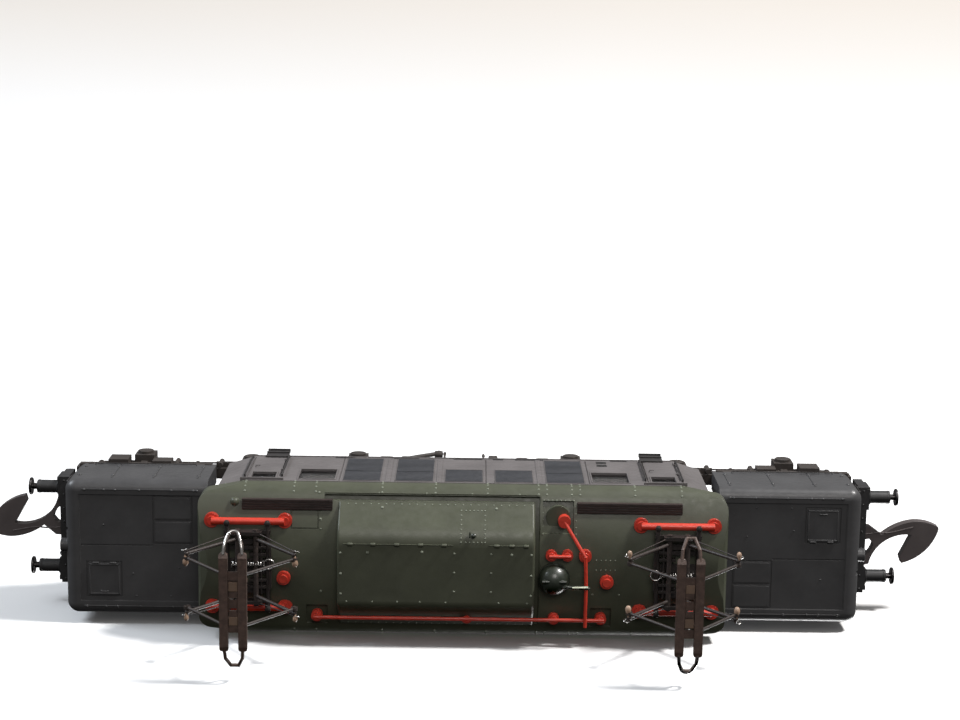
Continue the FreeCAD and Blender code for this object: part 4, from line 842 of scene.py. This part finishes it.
def cab_inside_shade(bm):
    """Dark box behind the windows: painted shade of the cab's inside, so that it reads as a cab and not as
    bare metal.
    """
    for middle, half, z0, z1 in ((DOOR_X, 2.5, 19.6, 25.2), (WINDOW_X, 3.5, 17.3, 24.9)):
        for x in (middle, -middle):
            add_box(bm, (x - half, WALL_Y + 1.0, z0), (x + half, WALL_Y + 1.2, z1), 0.05)


def cab_front_details(bm):
    """Window frames and rivets of the cab ends."""
    front = node_box("body_shell")[1].x
    for y in (-5.6, 5.6):
        for z in (23.65, 25.65):
            add_box(bm, (front - 0.1, y - 3.5, z - 0.12), (front + 0.14, y + 3.5, z + 0.12), 0.06)
        for edge in (-3.35, 3.35):
            add_box(bm, (front - 0.1, y + edge - 0.12, 23.7), (front + 0.14, y + edge + 0.12, 25.6), 0.06)
    for side in (-1, 1):
        for z in (10.5, 13.5, 16.5, 19.5, 22.5):
            add_rivet(bm, (front, side * 11.2, z), (1, 0, 0), 0.14)


def build_walls():
    for build, slot, look in (
            (wall_details, "body_grey", "body_grey"), (wall_vents, "louvre_grey", "painted_shade_dark"),
            (underframe_details, "body_grey", "frame_brown"), (louvre_slats, "louvre_grey", "louvre_grey"),
            (cab_inside_shade, "body_grey", "painted_shade_dark"), (cab_front_details, "body_grey", "body_grey")):
        body_piece(build, slot, look, turned_too=True)


# ---- roof ----
def roof_at(x, y):
    return on_surface("roof_shell", (x, y, SKY), -UP)


def shoulder_at(x, z, side=-1):
    return on_surface("roof_shell", (x, side * 20, z), (0, -side, 0))


def rivet_row(bm, at, starts, step, count, radius):
    """Rivets dropped on a surface at equal steps."""
    x, y = starts
    for i in range(count):
        add_rivet(bm, *at(x + step[0] * i, y + step[1] * i), radius)


def roof_rivets(bm):
    """Rivet seams on the shoulders and round the equipment bays."""
    for side in (-1, 1):
        for x in (36.9, 28.6, 24.9, 13.7, 4.7, -4.1, -12.7, -14.1, -18.3, -19.7, -29.0, -36.9):
            for z in (26.4, 27.4, 28.4, 29.2):
                add_rivet(bm, *shoulder_at(x, z, side), 0.19)
        for step in range(28):
            add_rivet(bm, *shoulder_at(-40.5 + step * 3.0, 26.25, side), 0.12)
    for x in (24.3, 14.2, 6.2, -1.5, -9.5):
        add_rivet(bm, *shoulder_at(x, 29.3), 0.2)
    for start, step, count in (((-13.6, -11.2), (-0.72, 0), 8), ((-13.4, -10.2), (0, 1.1), 5),
                               ((-19.0, -10.2), (0, 1.1), 5), ((23.9, -10.4), (0, 1.4), 4)):
        rivet_row(bm, roof_at, start, step, count, 0.13)
    for x, y in ((24.0, -7.8), (23.9, 4.6), (-22.0, 4.6), (-26.5, 4.6), (40.5, -2.0), (-40.5, 2.0)):
        add_rivet(bm, *roof_at(x, y), 0.22)
    for step in range(5):
        add_rivet(bm, *roof_at(-22.5 - step * 0.8, -1.5), 0.11)
        add_rivet(bm, *roof_at(-22.5 - step * 0.8, 0.2), 0.11)


def box_at(x, y):
    return on_surface("roof_box", (x, y, SKY), -UP)


def roof_box_hinges(bm):
    """Hinge bars with their knuckles along the roof box."""
    hinge_y = -4.45
    for x0, x1 in ((-11.0, -4.3), (1.6, 20.0)):
        z = box_at((x0 + x1) / 2, hinge_y)[0].z
        add_box(bm, (x0, hinge_y - 0.09, z - 0.06), (x1, hinge_y + 0.09, z + 0.12), 0.06)
    for x in (18.8, 15.0, 11.0, 7.0, 3.1, -5.7, -8.2, -10.6):
        z = box_at(x, hinge_y)[0].z
        add_lathe(bm, [(0, -0.42), (0.26, -0.42), (0.3, -0.3), (0.3, 0.3), (0.26, 0.42), (0, 0.42)],
                  (x, hinge_y, z + 0.1), (1, 0, 0), 12)


def roof_box_rivets(bm):
    """Flange rivets, hatch rivets and bolts of the roof box, paler than the paint: partly dust, partly a
    painted highlight.
    """
    low, high = node_box("roof_box")
    for y in (low.y + 0.22, high.y - 0.22):
        rivet_row(bm, box_at, (low.x + 0.5, y), (1.29, 0), 25, 0.13)
    for x in (1.4, -4.8):
        rivet_row(bm, box_at, (x, -3.0), (0, 3.3), 3, 0.2)
    for y in (-2.9, 0.7, 4.2):
        add_rivet(bm, *box_at(high.x - 0.6, y), 0.24)
        add_rivet(bm, *box_at(low.x + 0.6, y), 0.22)
    for x in (19.4, 15.1, 10.9, 7.1, 2.8, -6.1, -10.9):
        add_rivet(bm, *box_at(x, 5.5), 0.17)
    for x, y in ((15.9, -3.0), (6.8, -3.2), (-8.2, -2.9), (13.6, -9.9), (-5.6, -9.9)):
        add_rivet(bm, *box_at(x, y), 0.26)
    for x in (0.3, -3.7):
        rivet_row(bm, box_at, (x, -9.6), (0, 0.66), 8, 0.14)
    for y in (-9.6, -4.98):
        rivet_row(bm, box_at, (-3.14, y), (0.66, 0), 5, 0.14)


def roof_knob(bm):
    """Lifting knob of the riveted hatch."""
    point, normal = box_at(-1.8, -6.0)
    profile = [(0.3, -0.1), (0.22, 0.25), (0.34, 0.4), (0.4, 0.55), (0.3, 0.7), (0, 0.76)]
    add_lathe(bm, profile, point, normal, 16)
    x, y, z = point
    add_box(bm, (x + 0.5, y - 0.7, z), (x + 0.75, y + 0.2, z + 0.35), 0.08)


def roof_gutter(bm):
    """Rain gutter along both long roof edges."""
    for side in (-1, 1):
        edge = node_box("roof_shell")[1].y - 0.05
        add_side_box(bm, side, (-37.1, 37.1), (edge, edge + 0.14), (26.15, 26.4), 0.05)


def roof_channel_edge(bm):
    """Bead that borders the sunk channel beside the roof box."""
    path = [roof_at(x, -11.95)[0] for x in (23.3, 10.0, -4.0, -12.7)]
    path += [roof_at(-13.05, y)[0] for y in (-11.6, -6.0, 0.0, 6.0, 10.2)]
    add_tube(bm, [point + UP * 0.02 for point in path], 0.12, 8)


def breaker_arm(bm):
    """Bare metal tube over the breaker's horn arm."""
    arm_y, reach = 2.65, node_box("breaker")[0].x
    path = [on_surface("breaker", (reach + step, arm_y, SKY), -UP)[0] - UP * 0.26
            for step in (0.35, 1.2, 2.1, 3.0)]
    add_tube(bm, path, 0.33, 12)


def build_roof():
    for build, slot, look in (
            (roof_rivets, "roof_green", "rivet_dust_and_highlight"), (roof_box_hinges, "roof_green", "roof_green"),
            (roof_box_rivets, "roof_green", "rivet_dust_and_highlight"), (roof_knob, "roof_green", "breaker_green"),
            (roof_gutter, "roof_green", "body_grey"), (breaker_arm, "breaker_green", "arm_metal"),
            (roof_channel_edge, "roof_green", "roof_green")):
        body_piece(build, slot, look)


# ---- pantographs ----
HEAD_LOW, HEAD_HIGH = node_box("front_panto_head")
PANTO_X = (HEAD_LOW.x + HEAD_HIGH.x) / 2
KNEES = {"outer": joint_place("front_panto_outer_knee"), "inner": joint_place("front_panto_inner_knee")}
PIVOTS = {"outer": joint_place("front_pantograph_raise"), "inner": joint_place("front_panto_inner_base")}
STRIP_Z = HEAD_HIGH.z
ARM_Y = 4.95


def strip_blocks(bm):
    """Pale carrier blocks between the two contact strips."""
    for y0, y1 in ((-3.3, -1.8), (2.4, 3.8)):
        add_box(bm, (PANTO_X - 0.72, y0, STRIP_Z - 0.95), (PANTO_X + 0.72, y1, STRIP_Z - 0.3), 0.1)


def strip_rails(bm):
    """Brown distance pieces and thin rails between the blocks."""
    for y0, y1 in ((-1.7, -0.7), (1.4, 2.4)):
        add_box(bm, (PANTO_X - 0.7, y0, STRIP_Z - 1.0), (PANTO_X + 0.7, y1, STRIP_Z - 0.4), 0.08)
    for dx in (-0.68, 0.68):
        add_tube(bm, [(PANTO_X + dx, -0.8, STRIP_Z - 0.4), (PANTO_X + dx, 1.5, STRIP_Z - 0.4)], 0.12, 8)


def horn_highlight(bm):
    """Bright steel wire along the horn of the -Y side only, where the light falls: a painted highlight."""
    half = [(-1.5, -7.9, STRIP_Z - 0.3), (-1.3, -9.4, STRIP_Z - 0.75), (-0.62, -11.0, STRIP_Z - 1.95)]
    path = half + [(-x, y, z) for x, y, z in reversed(half)]
    add_tube(bm, smooth_path([(PANTO_X + x, y, z) for x, y, z in path]), 0.27, 10)


def knee_weights(bm, knee, way):
    """Drop-shaped weights at the knee, on both sides."""
    for y in (-ARM_Y + 0.2, ARM_Y - 0.2):
        profile = [(0, -1.0), (0.3, -0.9), (0.5, -0.5), (0.48, -0.1), (0.3, 0.35), (0.16, 0.8), (0.12, 1.0),
                   (0, 1.0)]
        small = 0.8 if y > 0 else 1.0
        add_lathe(bm, [(r * small, h * small) for r, h in profile],
                  (knee.x + way * 0.15, y + 0.9, knee.z + 0.15), (0, -1, 0.1), 18)


def knee_wires(bm, knee, way):
    """Small shiny wire loops at the knee."""
    for y in (-ARM_Y - 0.55, ARM_Y + 0.55):
        add_tube(bm, ring_points((knee.x + way * 0.45, y, knee.z), (0, 1, 0.3), 0.42), 0.09, 8)
        add_tube(bm, [(knee.x, y - 0.25, knee.z), (knee.x, y + 0.25, knee.z)], 0.2, 8)


def guide_rods(bm, pivot, knee):
    """Thin guide rods beside the lower arms."""
    for side in (-1, 1):
        start = Vector((pivot.x + (knee.x - pivot.x) * 0.12, side * 6.0, pivot.z + 0.9))
        end = Vector((knee.x, side * (ARM_Y + 0.5), knee.z - 0.1))
        add_tube(bm, [start, end], 0.1, 8)


def panto_springs(bm):
    """Raising springs on the base, with their end ring."""
    z = PIVOTS["outer"].z - 0.1
    y = -0.55
    middle, far = PANTO_X + 0.6, PANTO_X - 2.7
    add_tube(bm, helix((middle, y, z), (far, y, z), 0.5, 8), 0.13, 8)
    add_tube(bm, ring_points((far - 1.0, y, z), (0, 0, 1), 0.85), 0.16, 10)
    add_tube(bm, helix((middle, y, z), (PANTO_X + 2.6, y, z), 0.5, 4), 0.13, 8)


def panto_linkage(bm):
    """Base brackets, cross rod and pull rods under the springs."""
    z = PIVOTS["outer"].z
    add_tube(bm, [(PANTO_X - 3.95, -3.4, z - 0.3), (PANTO_X - 3.95, 3.6, z - 0.3)], 0.14, 8)
    for y in (-3.4, -2.2, 2.2, 3.4):
        add_box(bm, (PANTO_X - 3.2, y - 0.25, z - 0.9), (PANTO_X - 0.4, y + 0.25, z + 0.1), 0.08)
    add_tube(bm, [(PANTO_X - 2.4, -4.6, z - 0.2), (PANTO_X - 2.4, 4.6, z - 0.2)], 0.2, 8)
    for y in (-4.2, 4.2):
        add_box(bm, (PANTO_X - 2.9, y - 0.5, z - 1.2), (PANTO_X + 2.9, y + 0.5, z - 0.85), 0.1)
    for x in (-3.4, 3.4):
        for y in (-7.5, 7.5):
            add_lathe(bm, [(0, 0), (0.55, 0), (0.55, 0.35), (0.4, 0.45), (0, 0.5)],
                      (PANTO_X + x, y, z - 0.7), (0, 0, 1), 6)


def build_pantographs():
    for build, look in ((strip_blocks, "tan_carbon"), (strip_rails, "panto_strip"),
                        (horn_highlight, "spring_steel")):
        end_pieces(build, "{end}_panto_collector", "panto_strip", look)
    for which, way in (("outer", 1), ("inner", -1)):
        knee, pivot = KNEES[which], PIVOTS[which]
        for name, build, look in (
                ("knee_weights", lambda bm: knee_weights(bm, knee, way), "copper_wear"),
                ("knee_wires", lambda bm: knee_wires(bm, knee, way), "spring_steel"),
                ("guide_rods", lambda bm: guide_rods(bm, pivot, knee), "panto_bronze")):
            body = "{end}_panto_lower_" + which + "_arm"
            end_pieces(build, body, "panto_bronze", look, f"{which}_{name}")
    end_pieces(panto_springs, "centre_body", "panto_bronze", "spring_steel")
    end_pieces(panto_linkage, "centre_body", "panto_bronze", "base_dark")


# ---- stage, light and camera ----
LIT_POINT = Vector((0.0, 0.0, 0.02))


def stage_material():
    """Pale paper that only shows from its front."""
    m = Nodes("paper")
    shade = m.patches(180.0, 2.0, (0.86, 0.86, 0.86), (0.90, 0.90, 0.90))
    # painted shade: the paper turns darker and warmer towards its far, upright end, as if the light fell off
    # there
    height = m.math("MULTIPLY", m.axis("Y"), -1.0 / (100 * MM))
    m.colour(m.mix(m.ramp(height, (0.35, 0.0), (1.0, 1.0)), shade, (0.88, 0.82, 0.75)))
    m.set({"Roughness": 0.9, "Specular IOR Level": 0.1})
    back = m.add("NewGeometry").outputs["Backfacing"]
    clear = m.add("BsdfTransparent")
    choose = m.add("MixShader")
    m.link(back, choose.inputs[0])
    m.link(m.shader.outputs[0], choose.inputs[1])
    m.link(clear.outputs[0], choose.inputs[2])
    m.link(choose.outputs[0], m.tree.nodes["Material Output"].inputs["Surface"])
    return m.material


def build_stage():
    """Paper sweep that the locomotive lies on, on its side: it faces -Y and curves up behind."""
    rest_y = CAD_BOX[1].y / MM + 0.02
    width, near, far, height, bend = 900.0, 260.0, -420.0, -260.0, 120.0
    section = [(rest_y, near), (rest_y, far)]
    for step in range(1, 13):
        angle = math.radians(90 * step / 12)
        section.append((rest_y - bend * (1 - math.cos(angle)), far - bend * math.sin(angle)))
    section.append((height, far - bend))
    bm = bmesh.new()
    rows = [[bm.verts.new((x, y, z)) for x in (-width, width)] for y, z in section]
    for a, b in zip(rows, rows[1:]):
        bm.faces.new((a[0], a[1], b[1], b[0]))
    mesh = smooth_mesh("paper_sweep", bm)
    if mesh.polygons[0].normal.y > 0:
        mesh.flip_normals()
    mesh.materials.append(stage_material())
    sweep = add_object("paper_sweep", mesh)
    sweep.visible_shadow = False
    sweep.visible_diffuse = False
    sweep.visible_glossy = False
    return sweep


def area_light(name, place, size, power, colour):
    """Round soft light aimed at the locomotive."""
    data = bpy.data.lights.new(name, "AREA")
    data.shape = "DISK"
    data.size = size
    data.energy = power
    data.color = colour
    light = add_object(name, data)
    light.location = Vector(place)
    light.rotation_mode = "QUATERNION"
    light.rotation_quaternion = (LIT_POINT - Vector(place)).to_track_quat("-Z", "Y")
    return light


def keep_off(light, receiver):
    """Stops a light from reaching one object, whose shadows it would wash out."""
    group = bpy.data.collections.new(light.name + "_kept_off")
    group.objects.link(receiver)
    group.collection_objects[0].light_linking.link_state = "EXCLUDE"
    light.light_linking.receiver_collection = group


def build_light(sweep):
    """Key from above right, a cool fill from above left, weak front and back fills."""
    area_light("key", (-0.44, -0.66, 0.06), 0.12, 8.6, (1.0, 0.98, 0.96))
    area_light("cool_fill", (0.66, -0.56, -0.02), 0.4, 5.2, (0.85, 0.92, 1.0))
    front = area_light("front_fill", (-0.1, -0.55, 0.75), 0.4, 2.4, (1.0, 0.96, 0.93))
    keep_off(front, sweep)
    area_light("back_fill", (-0.3, 0.55, -0.35), 0.4, 3.5, (1.0, 1.0, 1.0))


def build_world():
    """World that lights from above (-Y) and looks evenly pale to the camera."""
    world = bpy.data.worlds.new("studio")
    world.use_nodes = True
    tree = world.node_tree
    link = tree.links.new
    background = tree.nodes["Background"]
    background.inputs["Color"].default_value = (0.95, 0.93, 0.92, 1.0)
    direction = new_node(tree, "SeparateXYZ")
    fade = new_node(tree, "MapRange", {"From Min": -1.0, "To Min": 0.42, "To Max": -0.06})
    link(new_node(tree, "TexCoord").outputs["Generated"], direction.inputs[0])
    link(direction.outputs["Y"], fade.inputs["Value"])
    link(fade.outputs[0], background.inputs["Strength"])
    pale = new_node(tree, "Background", {"Color": (0.95, 0.95, 0.95, 1.0)})
    choose = new_node(tree, "MixShader")
    link(new_node(tree, "LightPath").outputs["Is Camera Ray"], choose.inputs[0])
    link(background.outputs[0], choose.inputs[1])
    link(pale.outputs[0], choose.inputs[2])
    link(choose.outputs[0], tree.nodes["World Output"].inputs["Surface"])
    bpy.context.scene.world = world


def build_camera():
    """Camera at the photograph's viewing angle: the locomotive lies on its side."""
    lens, sensor = 74.1, 36.0
    place = Vector((-1.26, -96.5, 352.4)) * MM
    tilt, turn, roll = 0.188, 0.0037, -0.0143
    to_camera = Matrix.Rotation(roll, 3, "Z") @ Matrix.Rotation(tilt, 3, "X") @ Matrix.Rotation(turn, 3, "Y")
    side_up = Matrix(((-1, 0, 0), (0, -1, 0), (0, 0, 1)))
    data = bpy.data.cameras.new("camera")
    data.lens = lens
    data.sensor_width = sensor
    data.clip_start, data.clip_end = 0.01, 10.0
    camera = add_object("camera", data)
    camera.matrix_world = Matrix.Translation(place) @ (side_up @ to_camera.transposed()).to_4x4()
    bpy.context.scene.camera = camera


finish_cad_nodes()
build_hoods()
build_running_gear()
build_walls()
build_roof()
build_pantographs()
build_light(build_stage())
build_world()
build_camera()
bpy.context.scene.view_settings.view_transform = "Standard"
